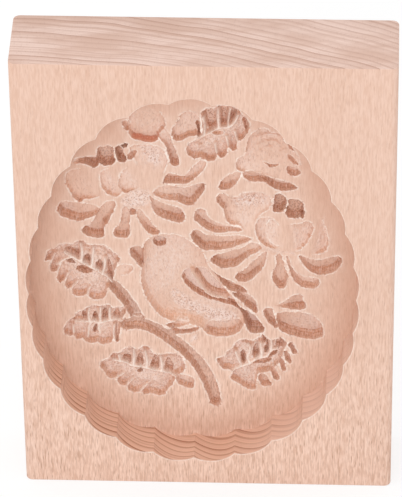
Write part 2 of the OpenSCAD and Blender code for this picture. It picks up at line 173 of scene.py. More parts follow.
# Leaves: toothed basins
LEAVES = [
    [(-43.2, 68.2), (-43, 70.2), (-42, 72), (-40.6, 72.5), (-39.5, 73.6), (-38, 74.1), (-36, 73.9),
     (-34.8, 74.9), (-33, 75.1), (-32, 74.1), (-30.5, 73.7), (-28.5, 73.9), (-26.5, 73), (-25.2, 71.6),
     (-24.2, 70.8), (-23.2, 69.2), (-24, 67.6), (-24.8, 65), (-25.2, 62.4), (-25.2, 60.5), (-26.8, 59.2),
     (-27.2, 57.2), (-28, 55.8), (-30, 55.4), (-31.6, 55.8), (-32.4, 57), (-33.4, 56.5), (-35.4, 56.5),
     (-36.3, 57.4), (-36.5, 59.2), (-37.5, 58.9), (-38.2, 60), (-38.4, 61.6), (-39.6, 60.8), (-40.3, 62.2),
     (-40.2, 64.8), (-41.6, 64.4), (-42.2, 65.8), (-41.9, 68.4)],
    [(-39, 44.6), (-38.4, 46.6), (-37.4, 48), (-36.2, 49), (-35, 50.8), (-33.4, 51.8), (-32.2, 52.6),
     (-30.6, 53.4), (-28.8, 53), (-27, 53.6), (-25.4, 52.6), (-23.6, 53), (-22, 52.4), (-22.2, 50.6),
     (-23, 49.2), (-23.2, 47.4), (-23.6, 45.4), (-24, 43), (-24.6, 41), (-25.6, 42), (-26.4, 40.6),
     (-28.6, 39.9), (-30, 40.6), (-31.6, 40.2), (-33.2, 40.8), (-34, 41.8), (-35.6, 41.4), (-36.4, 43),
     (-37.4, 42.5), (-38.6, 43.2)],
    [(-29.5, 32), (-28.9, 34), (-27.2, 34.8), (-25.9, 36.8), (-24.2, 36.9), (-22.6, 38.6), (-20.8, 38.9),
     (-19, 38.2), (-17.4, 39.6), (-16, 38.8), (-14.8, 37), (-13.2, 36.4), (-11.6, 37), (-9.6, 37),
     (-8, 36.6), (-6.9, 34.8), (-6.4, 32.6), (-7, 30.6), (-8.4, 29.6), (-9.2, 28), (-10, 26), (-11.4, 24),
     (-12, 22.6), (-14, 22.2), (-15.8, 22.9), (-17.4, 22.4), (-18.8, 23.4), (-20.6, 23.1), (-21.9, 24),
     (-22.4, 25.6), (-23.6, 25.3), (-24.6, 26.4), (-25.4, 27.9), (-27, 28), (-28, 29.2), (-28.4, 30.6)],
    [(2.2, 35.2), (3, 35.9), (4.4, 36.4), (5.2, 38), (6.6, 39.4), (8, 41.6), (9.6, 42.4), (11.8, 42),
     (13.4, 42.8), (14.8, 44), (16, 43), (17.2, 42.2), (18.6, 42.9), (20.2, 42.7), (21.2, 41.2), (20.6, 39),
     (19.8, 36.4), (18.8, 33.8), (17.2, 32), (15.8, 31), (13.8, 30.6), (13, 28), (12.9, 25.6), (12, 24.8),
     (10.2, 25.4), (8.4, 26.8), (6.6, 28.2), (6, 29.4), (6.6, 30.6), (5.8, 31.8), (4.2, 31.8), (3, 33.4)],
    [(-4.6, 107.6), (-3, 109), (-1.6, 110.4), (-0.8, 112), (-0.9, 114.6), (-1, 117.4), (-0.2, 118.9),
     (2, 119.4), (3.6, 120.1), (6, 120.2), (8.2, 119.6), (9.4, 117.6), (10.6, 116.6), (11.5, 114.4),
     (11.3, 112.4), (10.4, 110.6), (9.6, 109.4), (8.4, 108.8), (8, 106.4), (6.9, 105.6), (5.9, 106.8),
     (5.2, 104), (4, 103.2), (3, 104.2), (2.6, 102.8), (1.2, 102.1), (-0.4, 102.7), (-1.2, 103.4),
     (-2.6, 103), (-4, 103.6), (-5.1, 104.6)],
]
# Small pockets beside the leaves, the petals and the buds
LEAF_LOBES = [
    [(-25.2, 41.3), (-25, 43.7), (-24.4, 43.5), (-24.3, 41.3), (-24.7, 40.5)],
    [(-20.6, 103), (-20, 104.6), (-19, 104.9), (-18.1, 104.3), (-18.8, 103.2), (-19.9, 102.3)],
    [(21.2, 107.4), (22.1, 107.7), (23.4, 105.7), (22.9, 105.2), (21.8, 106.1)],
    [(21.2, 104), (22.3, 103.8), (23.8, 102.2), (24.3, 101.3), (23.4, 101.3), (21.8, 102.7)],
    [(21.2, 100.3), (22.9, 100.5), (24.5, 99.5), (24.8, 98.5), (23.4, 97.6), (21.6, 98.3)],
    [(1.2, 110.3), (2, 111.5), (4, 111.6), (5, 111.1), (4, 110.1), (2.2, 109.9)],
    [(-20.4, 84.6), (-20, 86.1), (-18.9, 86), (-18.7, 84.6), (-19.6, 83.9)],
    [(-8.8, 110.2), (-8.9, 112), (-8, 113.6), (-7, 115.4), (-6.4, 117), (-5, 118), (-3, 117.8),
     (-1.7, 116.4), (-1.3, 114), (-1.6, 111.6), (-2.6, 110.4), (-4.2, 110), (-5.6, 109.2), (-7, 108.6),
     (-8.2, 109)],
    [(15.2, 101.6), (15.9, 100.7), (16.9, 100.2), (18.2, 100.4), (19.2, 100.9), (18.1, 101), (17.1, 100.9),
     (16, 101.3)],
    [(-9, 29.2), (-6.2, 29.6), (-4.2, 28.4), (-3.9, 26), (-4.6, 24.7), (-6.4, 25.4), (-8.2, 26.4)],
    [(21.7, 40.8), (22.4, 41.5), (23.2, 40.8), (23.5, 39.6), (24.2, 38.6), (23.8, 37.5), (22.9, 37.8),
     (22.3, 39)],
    [(20.5, 38), (21, 38.8), (21.7, 38), (22.4, 36.2), (22.7, 34.8), (22, 34.2), (21.2, 35), (20.7, 36.6)],
    [(19.2, 35.2), (19.8, 36), (20.5, 35.2), (20.9, 33.4), (21.1, 31.8), (20.5, 31.4), (19.8, 32.6)],
    [(16.6, 32.4), (17.2, 33.2), (18, 32.6), (18.8, 30.8), (19.5, 29), (18.9, 28.2), (17.9, 28.6),
     (17.2, 30.4)],
    [(13.6, 29.6), (14.6, 30.6), (15.7, 30), (16.4, 28.4), (17.3, 27.2), (16.8, 26.2), (15, 26),
     (14.1, 27.2)],
    [(-21.8, 114.6), (-20.7, 115), (-19.9, 114.1), (-19.8, 112.7), (-20.5, 111.6), (-21.4, 112.7)],
]
# Raised veins of the leaves, and one between the two halves of the wing
VEINS = [
    [(-38.2, 70.7), (-36, 69.4), (-33.8, 67.8), (-31.5, 66.3), (-29.5, 64.8), (-27, 62.8), (-25.6, 60.8)],
    [(-33.8, 67.8), (-33.4, 70), (-33.5, 72.2), (-33.8, 73.6)],
    [(-31, 66), (-30.6, 69), (-30.4, 72.6)],
    [(-28.2, 63.8), (-27.5, 66), (-27.3, 69)],
    [(-36, 69.4), (-38.6, 68.2), (-40.4, 66.4)],
    [(-42.2, 66.6), (-40.8, 70)],
    [(-40.4, 63.6), (-39.2, 67)],
    [(-38.4, 60.8), (-37.4, 63.4)],
    [(-36.4, 58.8), (-35, 60.6)],
    [(-32.3, 56.8), (-31.6, 58.8)],
    [(-36, 47.2), (-33, 47.3), (-31, 47.4), (-28.8, 47.1), (-25.8, 48), (-23, 47.6)],
    [(-32, 47.4), (-32.3, 49.4), (-32, 51.6)],
    [(-29.1, 47.2), (-29.2, 49.4), (-28.9, 52)],
    [(-26.2, 47.8), (-26.6, 49.6), (-26.4, 52)],
    [(-31.6, 47.3), (-32.2, 45.4), (-32.6, 42)],
    [(-29.4, 47), (-29.6, 45), (-29.2, 43.4)],
    [(-25.4, 45.8), (-25.6, 43), (-25.4, 41.6)],
    [(-36.4, 43.4), (-36.6, 45.6)],
    [(-26, 34), (-22.6, 33.4), (-20.8, 32.3), (-17.6, 31.8), (-15, 30.8), (-12.4, 30.4), (-9, 28.6)],
    [(-20.4, 32.6), (-20.2, 35), (-20.3, 37.6)],
    [(-16.9, 31.6), (-16.7, 34), (-17.2, 37)],
    [(-12.7, 30.6), (-12.7, 33), (-13.1, 35.4)],
    [(-24, 33.8), (-24.4, 35.6)],
    [(-22.2, 25.4), (-20.6, 27.6)],
    [(-18.6, 23.4), (-16.8, 25.6)],
    [(-25.2, 27.6), (-23.2, 29.4)],
    [(6.6, 31), (8.6, 32.4), (11, 33.6), (13.5, 35.6), (15.9, 36.3), (17, 38.2), (18.8, 38.9)],
    [(8.9, 33), (8.1, 35), (7.4, 37.4)],
    [(11.2, 33.8), (10.7, 36), (11.4, 39), (10.6, 40.2)],
    [(14.5, 36), (14.4, 38), (14.2, 40.6)],
    [(16.9, 38.2), (17.2, 40.2), (17, 42)],
    [(-4.4, 107.6), (-2, 109.2), (0.4, 110.6), (3.4, 112.6), (6, 113), (7.6, 114.6), (8.6, 116.8)],
    [(3.5, 112.7), (3.3, 115), (3.4, 118.8)],
    [(5.9, 113.2), (6.1, 116), (6.6, 119)],
    [(-0.4, 110.6), (-0.2, 113), (-0.7, 116)],
    [(5.8, 107.2), (5.4, 110)],
    [(2.8, 104.6), (2.4, 107.6)],
    [(8.2, 108.8), (7.6, 111.4)],
    [(-4.1, 64.3), (-2.7, 61.6), (-1.2, 58.9), (0.5, 57), (2.6, 56.2), (5.1, 55.7)],
]
# Soft folds of the right bud
FOLDS = [
    [(13.8, 109), (15.1, 109.9), (17.3, 110), (19.4, 109.4), (20.3, 108.3)],
    [(14, 106.6), (15.5, 107.8), (17.7, 108), (19, 107.2)],
    [(14.2, 104.7), (15.5, 105.8), (17, 106.1)],
    [(19.4, 104.8), (21.2, 105.6), (23.4, 105.4)],
    [(19.4, 100.7), (21.6, 102.1), (24.5, 101.4)],
]
# The bird's basin rises under its legs
LEGS = [(-8.2, 48.2), (-5.2, 47.6), (-2.2, 46.2)]
# Deep cells between the veins and beside the petals
CELLS = [
    [(-38.7, 70.7), (-37.6, 72), (-35.6, 71.7), (-34.4, 71.8), (-34.1, 70.1), (-34.4, 68.7), (-36, 69.7),
     (-37.6, 70.3)],
    [(-38, 68.9), (-36.4, 68.3), (-35.2, 67.2), (-36.4, 66.9), (-37.6, 67.7)],
    [(-33.2, 67.5), (-32.9, 69.5), (-31.9, 70.2), (-31.2, 69.3), (-31.3, 67.1), (-32.4, 66.4)],
    [(-30.1, 64.9), (-29.8, 67.1), (-28.9, 68.3), (-28.1, 67.3), (-28, 65.1), (-28.6, 63.9), (-29.4, 64.2)],
    [(-26.9, 62.3), (-26.9, 65.3), (-26.6, 67.8), (-25.9, 66.9), (-25.3, 63.3), (-25.5, 61.3)],
    [(-35.2, 65.1), (-33.6, 66.4), (-32, 65.7), (-30.8, 64.5), (-31.8, 63.8), (-33.6, 63.9)],
    [(-34.2, 48.7), (-33.6, 50.1), (-32.7, 49.3), (-32.7, 47.7), (-33.6, 47.4)],
    [(-31.4, 47.5), (-31, 49.7), (-30.3, 50.5), (-29.7, 49.3), (-29.7, 47.5), (-30.6, 47)],
    [(-28.7, 47.9), (-28.4, 50.5), (-27.6, 51.5), (-27, 49.9), (-27.2, 47.9), (-28, 47.1)],
    [(-25.7, 48.1), (-25.2, 50.5), (-24.2, 51.1), (-23.6, 49.7), (-24, 47.9), (-25, 47.4)],
    [(-31, 44.9), (-30.6, 46.1), (-29.8, 45.9), (-30, 44.3), (-30.6, 42.7), (-31.3, 43.3)],
    [(-23.4, 34.5), (-22.6, 35.5), (-21.2, 35.3), (-20.8, 33.9), (-21.6, 33.1), (-22.8, 33.6)],
    [(-19.7, 32.9), (-19.3, 35.1), (-18.5, 36.1), (-17.7, 34.7), (-17.6, 32.5), (-18.6, 31.9)],
    [(-15.8, 31.7), (-15.2, 34.1), (-14.4, 35.3), (-13.5, 33.9), (-13.4, 31.7), (-14.4, 30.5)],
    [(-12, 30.7), (-11.6, 33.7), (-10.6, 34.5), (-9.6, 32.5), (-9.6, 29.9), (-10.6, 28.7)],
    [(-19.6, 30.1), (-18.6, 30.9), (-17.8, 30.3), (-18.6, 29.5)],
    [(8.7, 36.7), (9.3, 38), (10, 37.1), (10.2, 34.7), (9.6, 33.2), (8.8, 34.3)],
    [(11.9, 36.7), (12.3, 39.1), (13, 40.2), (13.8, 38.7), (13.8, 36.3), (12.8, 35.3)],
    [(14.6, 41.3), (14.7, 42.9), (15.5, 42.7), (15.6, 40.9), (15, 40.2)],
    [(15.6, 39.9), (15.8, 41), (16.4, 40.7), (16.5, 39.3), (16, 39.1)],
    [(15, 37.9), (15.3, 39.3), (16.2, 39.1), (16.7, 37.9), (16, 37.3)],
    [(18.2, 39.9), (18.8, 41.5), (20, 41.6), (20.7, 40.1), (20, 38.7), (18.8, 38.5)],
    [(16.1, 35.7), (17.2, 37.1), (18.8, 37.3), (18.4, 35.9), (17.2, 35.2)],
    [(11.9, 33.2), (13.2, 34.1), (14.6, 35), (16.4, 35.1), (17.2, 34.1), (16, 32.9), (14, 32.6)],
    [(-0.6, 116.6), (0.2, 118), (1.4, 118), (2.6, 117), (3, 114.6), (2.8, 112.6), (1.4, 111.6), (0.2, 112.7),
     (-0.1, 114.9)],
    [(3.7, 117.6), (4, 119), (5.2, 118.9), (6.4, 118.6), (7.8, 118), (8.4, 116.8), (7.6, 115.4), (6.6, 114),
     (5.4, 113.4), (4.2, 113.6), (3.9, 115.2)],
    [(9.5, 114.7), (10.4, 115.3), (11.1, 113.7), (11.1, 111.5), (10.3, 111.3), (9.9, 113.1)],
    [(-2.7, 113.3), (-2.1, 114.1), (-1.4, 112.7), (-1.3, 110.5), (-1.9, 109.8), (-2.3, 111.3)],
    [(-28.6, 104.2), (-28.2, 105.9), (-26.4, 106.6), (-24.9, 106.5), (-24.2, 105.3), (-24.1, 103.2),
     (-23.7, 101.5), (-24.8, 100.5), (-26.5, 100.1), (-27.8, 100.9), (-28.5, 102.5)],
    [(-23.8, 105.3), (-23.1, 106.9), (-22.2, 106.5), (-21.6, 104.6), (-20.8, 102.7), (-21.2, 101.6),
     (-22.6, 101.5), (-23.5, 102.6)],
    [(-22.2, 107), (-21.1, 107.6), (-20.3, 107.5), (-20.7, 106.5), (-21.6, 106)],
    [(17.5, 87), (17.9, 89.7), (18.1, 91.4), (19.4, 91.9), (20.8, 90.9), (21.2, 89.3), (21, 87.3),
     (20.3, 86.2), (19, 85.5), (17.7, 85.9)],
    [(21, 86.5), (21.6, 88.2), (21.9, 89.8), (23.4, 90.1), (25.2, 89.3), (25.8, 87.7), (25.6, 86),
     (24.7, 84.3), (23.4, 83.7), (21.9, 84), (21, 85.1)],
    [(24.8, 84.9), (25.4, 86.6), (26, 86), (25.8, 84.4), (25.3, 83.7)],
]

# The bird: body, steep wall under the belly, beak, wing, tail feathers, feet and eye
BIRD = [
    (-17.2, 72.5), (-16.2, 75.2), (-13.8, 77.2), (-10.5, 77.8), (-7, 77.2), (-3.8, 75), (-1.3, 71.8),
    (0.2, 68), (1.5, 65), (4, 61), (7, 56.5), (9.3, 52), (9.9, 49), (9.2, 46.3), (7, 44), (3.2, 43.3),
    (-0.2, 44.2), (-2.2, 46.4), (-5.5, 47.6), (-9.5, 48.4), (-12.4, 49.9), (-15, 53.2), (-16.9, 57.6),
    (-17.8, 62), (-17.6, 65.8), (-17, 69),
]
BELLY = [
    (-0.2, 44.2), (3.2, 43.2), (7, 43.9), (9.2, 46.3), (8.6, 47.6), (5, 46.8), (2, 46.7), (-0.4, 46.2),
]
BEAK = [
    (-20.8, 71.9), (-19.8, 73.3), (-18, 73.5), (-16.8, 72), (-17, 69.4), (-16.9, 66.7), (-17.5, 66.3),
    (-18.8, 68.2), (-20.2, 70.1),
]
WING = [
    [(-6.8, 62.7), (-5.8, 63.9), (-4.2, 64.4), (-2.8, 61.2), (-1.3, 58.6), (0.5, 56.9), (2.9, 56.1),
     (4.8, 55.8), (6, 54.5), (7.8, 53.8), (10.2, 52.6), (12.6, 50.7), (14.1, 48.4), (15.2, 46.5), (15, 45.1),
     (13.2, 44.5), (11.1, 45.2), (10.2, 47.1), (9.4, 49.1), (8.1, 50.8), (5.9, 51.9), (2.9, 52.9),
     (-0.1, 54), (-2.8, 55.5), (-4.9, 57.3), (-6.4, 59.6), (-7.1, 61.2)],
    [(-3.9, 64.3), (-1.8, 64.7), (0, 64), (1.2, 62.1), (3, 59.8), (4.8, 57.5), (5.4, 56.4), (4.1, 55.8),
     (2.3, 56.3), (0.5, 57.2), (-1, 59.2), (-2.5, 62)],
]
FEATHERS = [
    [(0.3, 66), (1.8, 65.5), (4.2, 63.3), (6.6, 62.2), (9, 60.7), (10.5, 59), (9.6, 58.4), (7.8, 58.5),
     (6, 59.2), (4.2, 61), (2.1, 63.6)],
    [(6.6, 58.2), (8.4, 58.4), (10.8, 58), (12.6, 56.1), (13.2, 53.8), (13.5, 51.9), (12.6, 51.6),
     (10.8, 53.4), (8.7, 55.7)],
    [(14.9, 52.3), (15.7, 53.3), (17.2, 53.1), (17.8, 51.2), (18.4, 48.9), (19, 46.9), (18.1, 46.5),
     (16.6, 48.1), (15.5, 50)],
]
FEET = [
    [(-10.5, 45.1), (-9.1, 46), (-6.3, 45.5), (-3, 46.5), (-2.4, 45.7), (-5.1, 44.2), (-8.2, 43.9),
     (-10, 44.1)],
    [(-11.2, 47.1), (-9, 47.9), (-7.5, 49.1), (-5.4, 48.4), (-5.1, 47.2), (-7.5, 46.4), (-10, 45.9)],
]
# Middle and width of the eye
EYE = (-12.8, 73.3, 3.6)
# Patches of torn fibres: the middles of the two flowers, the bird's belly, two petals and a claw
ROUGH = [
    [(-23.5, 88.2), (-21.5, 91), (-18.5, 93), (-15, 92.4), (-13.8, 89.6), (-15.6, 86.6), (-19.4, 85.8),
     (-22.2, 86)],
    [(14.4, 75), (17, 73.8), (20, 73.2), (23.6, 72.6), (23.8, 70.8), (20.5, 71.2), (17.5, 71.6), (15, 72.6)],
    [(-10, 58), (-6.5, 56.6), (-3, 53.6), (1.5, 51.4), (6, 50.6), (8.6, 48.6), (6.8, 45.6), (2, 45.4),
     (-2.4, 48), (-7.4, 50), (-10.4, 53.6)],
    [(6, 87.6), (8.5, 90), (12.5, 91.4), (16, 90.2), (16.4, 88), (14, 86.2), (11, 86), (8, 85.6)],
    [(-18, 106.2), (-14.5, 106.6), (-11.6, 105.4), (-11, 102.6), (-12.4, 99.4), (-15, 100.4), (-17, 103)],
    [(-5.4, 42.5), (-3.6, 44.3), (-2.1, 44.2), (-2.2, 41.8), (-3.6, 40.2), (-5.2, 40.6)],
]
# Middle lines of the branch and its twig, from the foot up
BRANCH = [(1.9, 20.4), (0.9, 25), (-1, 30.5), (-3.5, 35), (-7, 39.3), (-11, 43), (-15, 46), (-18.5, 47.2),
          (-22, 47)]
TWIG = [(-19.1, 49.4), (-20.5, 53), (-22.5, 56.5), (-25.2, 60.3)]

# Each kind of cut: its depth, and how far its wall runs inwards
CUT = {
    "bird": (2.9, 2.0), "beak": (3.0, 0.7), "wing": (4.7, 0.7), "second": (3.8, 0.7), "feather": (2.4, 0.7),
    "foot": (2.2, 0.7), "eye": (4.6, 0.35), "finger": (3.0, 0.9), "leaf": (2.1, 0.7), "lobe": (1.9, 0.7),
    "cell": (3.2, 0.6), "stem": (2.5, 0.97), "rough": (0.4, 1.6),
}
# How far the walls of a broad petal run inwards
SCOOP_RUN = 0.65
# A narrow petal has this share of its depth at its tip, and all of it this far along
TIP_SHARE = 0.45
PETAL_REACH = 0.75
# A leaf is deepest along its edge and rises inwards to this share, over this width. It is this rough.
LEAF_RISE = (0.4, 4.0)
LEAF_ROUGH = 0.65
# Width of the branch, the share of it at its foot, and the twig's width. A channel narrows over the first
# of so many parts of its length.
BRANCH_WIDTH = 3.8
BRANCH_TIP = 0.8
TWIG_WIDTH = 3.4
CHANNEL_PARTS = 6
# Ridges left in the cuts: line, share of the depth that it rises by, half its width
VEIN_RISE = 0.85
VEIN_HALF = 0.45
FOLD_RISE = 0.18
LEG_RISE = 0.6
LEG_HALF = 1.9
RIDGES = [(line, VEIN_RISE, VEIN_HALF) for line in VEINS]
RIDGES += [(line, FOLD_RISE, VEIN_HALF) for line in FOLDS]
RIDGES += [(LEGS, LEG_RISE, LEG_HALF)]
# A ridge ends at so many times half its width
RIDGE_REACH = 3
# Torn edges wander and cut surfaces are uneven by about this much, over this far across and along
RAGGED = 0.12
UNEVEN = 0.09
UNEVEN_SPAN = (0.45, 0.8)
# The draws behind it: seed, side of their lattice, and the place where it starts
SEED = 29
LATTICE_SIDE = 256
LATTICE_START = 10.0
# Rough patches are more uneven by this share, and a cut is as uneven as it gets from this depth on
ROUGH_MORE = 1.2
UNEVEN_DEPTH = 0.5
# The cutter leaves faint steps along the edges: height and distance
PASS_STEP = (0.06, 0.85)
# Cuts shallower than this, or sloping parts with less than this share of their depth, have no edge
SOFT = 0.5
EDGE_SHARE = 0.2

# Spacing of the floor's points: fine in the cuts, coarse beside them, and a bank around every cut
STEP = 0.24
COARSE_STEP = 2.5
BANK = 0.55
# Fine points fill what is deeper than this
FINE_DEPTH = 0.02
# A cut's outline has points of its own, except where another cut is deeper than this
LINE_DEPTH = 0.25
# Room that all points and coarse ones keep from the rim
RIM_ROOM = 0.25
COARSE_ROOM = 0.8
# Room that coarse points and banks keep from a cut's edge
EDGE_ROOM = 0.9
BANK_ROOM = 0.7 * BANK
# Banks take one in so many points of an outline, and distances from the rim one in so many of its points
BANK_SKIP = 2
RIM_SKIP = 4
# Points nearer than this become one corner of the triangles
CORNER_NEAR = 1e-4
# Points on a smooth line between two given ones and on a round end, the fewest steps of a line, and the
# points in one batch of sums
SPAN_POINTS = 24
ROUND_POINTS = 12
FEWEST_STEPS = 8
BATCH = 3000

# Marks of the cutter, and the painted shade and painted highlight, which each vertex carries to the wood
MARKS = ("torn", "cut", "deep", "nook", "rough", "vein", "run")
# Width of the loose fibres and painted highlight inside and outside an edge, and along a vein
EDGE_TEAR_GLINT = (0.16, 0.38)
VEIN_TEAR_GLINT = 0.36
# The lip's bevel has loose fibres and a painted highlight between these shares of its height, this much of
# them
LIP_MIDDLE = (0.05, 0.7)
LIP_FLUFF_GLINT = 0.7
# A share this near to a row of the bevel is on it
ROW_NEAR = 0.05
# The run of a wall is marked this far outside its cut
RUN_MARGIN = 1.5 * STEP
# A point this near to an edge, or less deep, counts as on it
ON_EDGE = 0.05
# Depths at which the marks of a cut and of a deep cut are full
CUT_DEPTH = 0.6
DEEP = 3.5
# Painted shade darkens the recess floor this near the walls
WALL_SHADE_REACH = 9.0

# Tones of the wood
PALE = (0.83, 0.582, 0.47, 1)
FAIR = (0.93, 0.675, 0.555, 1)
WARM = (0.70, 0.44, 0.325, 1)
DASH = (0.46, 0.25, 0.165, 1)
BRIGHT = (0.875, 0.658, 0.575, 1)
ROSY = (0.68, 0.45, 0.36, 1)
RUDDY = (0.52, 0.30, 0.225, 1)
# burnt cut walls, also the painted shade of deep cuts
BURNT_AND_SHADE = (0.76, 0.415, 0.275, 1)
TAWNY = (0.86, 0.555, 0.405, 1)
# painted shade: the floor near the recess walls and the bottoms of deep cuts
SHADE_TONE = (0.64, 0.39, 0.285, 1)
SINGED = (0.62, 0.205, 0.12, 1)
# scorch marks, also painted shade in the creases of the cuts
SCORCH_AND_SHADE = (0.42, 0.175, 0.10, 1)
# pale fuzz of cut fibres, also the painted light on the wing's deep floor
FUZZ_AND_LIGHT = (0.87, 0.70, 0.635, 1)
# pale torn fibres, also the painted highlight along cut edges, veins and the lip
FIBRE_AND_GLINT = (1.0, 0.875, 0.785, 1)
# Noise patterns: how often across, inwards and along per millimetre, detail and roughness
PATTERNS = {
    "sway": (0.03, 0.05, 0.008, 2.0, 0.5), "cloud": (0.05, 0.16, 0.03, 3.0, 0.6),
    "fibres": (2.1, 2.1, 0.28, 3.0, 0.62), "hairs": (2.9, 2.9, 0.14, 2.0, 0.6),
    "streaks": (0.22, 0.22, 0.012, 2.0, 0.5), "blotch": (0.09, 0.09, 0.07, 2.0, 0.5),
    "specks": (1.6, 1.6, 1.1, 3.0, 0.65), "spots": (2.3, 2.3, 2.3, 2.0, 0.6),
    "lifted": (2.6, 2.6, 0.8, 2.0, 0.6), "hatch": (3.4, 0.5, 0.9, 2.0, 0.6),
    "patches": (0.55, 0.55, 0.45, 2.0, 0.6), "tufts": (2.2, 2.2, 1.2, 3.0, 0.7),
}
# The rings' pith, across and inwards, their width and how far they sway
PITH = (-60.0, -222.0)
RING_WIDTH = 2.0
RING_SWAY = 5.0
# Dark dashes: width, height and the share of places that have one
RAYS = ((0.55, 4.4, 0.42), (0.46, 2.8, 0.32))
PORES = (0.25, 0.5, 0.5)
# The left bud's lower wall is burnt red: its middle, and half its width and height
RED_BUD = ((-15.6, 109.6), (5.2, 2.0))

# The studio, in metres and watts
WHITE = (1, 1, 1, 1)
# The floor lights the block as paper does, and is seen as thin paper that glows
PAPER = (0.9, 0.9, 0.9, 1)
THIN_PAPER = (0.3, 0.3, 0.3, 1)
PAPER_GLOW = 0.72
FLOOR_SIDE = 12.0
ROOM_GLOW = 0.84
# Name, place, aim, side and power of each softbox
SOFTBOXES = [
    ("front_softbox", (-0.22, -1.28, 0.55), (0, 0, 0.06), 0.8, 4.3),
    ("top_softbox", (-0.6, -0.1, 1.25), (0, 0, 0.07), 0.9, 2.2),
]
# The camera: yaw, pitch and roll in degrees, what it aims at on the front, and how far away it is
CAMERA_TURN = (-2.7687, 37.7015, 0.7738)
CAMERA_AIM = (-1.0797, 81.3002)
CAMERA_AWAY = 1167.565
# Width of its film, its focal length in the photo's pixels, and the photo's height
FILM = 36.0
FOCAL_PX = 4435.66
PHOTO_TALL_PX = 497.0


# A node desk for drawing node trees, and numbers on it that sum up through Math nodes

class Num:
    """A number on a node desk. Every sum with it adds a Math node."""

    def __init__(self, desk, socket):
        self.desk = desk
        self.socket = socket

    def fn(self, operation, *more):
        """A Math node with this number first."""
        return self.desk.num("ShaderNodeMath", {"operation": operation}, dict(enumerate((self, *more))))

    def turned(self, operation, first):
        """A Math node with this number second."""
        return self.desk.num("ShaderNodeMath", {"operation": operation}, {0: first, 1: self})

    def __add__(self, other):
        return self.fn("ADD", other)

    def __sub__(self, other):
        return self.fn("SUBTRACT", other)

    def __rsub__(self, other):
        return self.turned("SUBTRACT", other)

    def __mul__(self, other):
        return self.fn("MULTIPLY", other)

    def __truediv__(self, other):
        return self.fn("DIVIDE", other)

    def __rtruediv__(self, other):
        return self.turned("DIVIDE", other)

    def __pow__(self, other):
        return self.fn("POWER", other)

    def __lt__(self, other):
        return self.fn("LESS_THAN", other)

    def __abs__(self):
        return self.fn("ABSOLUTE")

    __radd__ = __add__
    __rmul__ = __mul__

    def ramp(self, low, high):
        """0 below low, 1 above high, smooth between."""
        return self.desk.num("ShaderNodeMapRange", {"interpolation_type": "SMOOTHSTEP"},
                             {"Value": self, "From Min": low, "From Max": high})

    def fade(self, low, high):
        """1 below low, 0 above high, smooth between."""
        return 1.0 - self.ramp(low, high)

    def band(self, start, full, fading, end):
        """1 from full to fading, 0 before the start and after the end."""
        return self.ramp(start, full) * self.fade(fading, end)


class Desk:
    """A node tree being drawn."""

    def __init__(self, tree):
        self.tree = tree

    def feed(self, socket, value):
        if isinstance(value, Num):
            value = value.socket
        if isinstance(value, bpy.types.NodeSocket):
            self.tree.links.new(value, socket)
        else:
            socket.default_value = value

    def add(self, kind, settings=None, inputs=None):
        node = self.tree.nodes.new(kind)
        for name, value in (settings or {}).items():
            setattr(node, name, value)
        for key, value in (inputs or {}).items():
            for each in value if isinstance(value, list) else [value]:
                self.feed(node.inputs[key], each)
        return node

    def num(self, kind, settings=None, inputs=None, out=0):
        return Num(self, self.add(kind, settings, inputs).outputs[out])

    def point(self, x, y, z):
        return self.add("ShaderNodeCombineXYZ", None, {0: x, 1: y, 2: z}).outputs[0]

    def split(self, vector):
        node = self.add("ShaderNodeSeparateXYZ", None, {0: vector})
        return [Num(self, out) for out in node.outputs]

    def blend(self, share, a, b):
        """Colour a turning into colour b by a share from 0 to 1."""
        return self.add("ShaderNodeMix", {"data_type": "RGBA"}, {0: share, 6: a, 7: b}).outputs[2]

    def coats(self, tone, *layers):
        """A tone with other tones laid over it, each by its own share."""
        for share, colour in layers:
            tone = self.blend(share, tone, colour)
        return tone


def cleared_desk(owner):
    """An empty desk for the nodes of a material or a world."""
    owner.use_nodes = True
    owner.node_tree.nodes.clear()
    return Desk(owner.node_tree)


# The wood

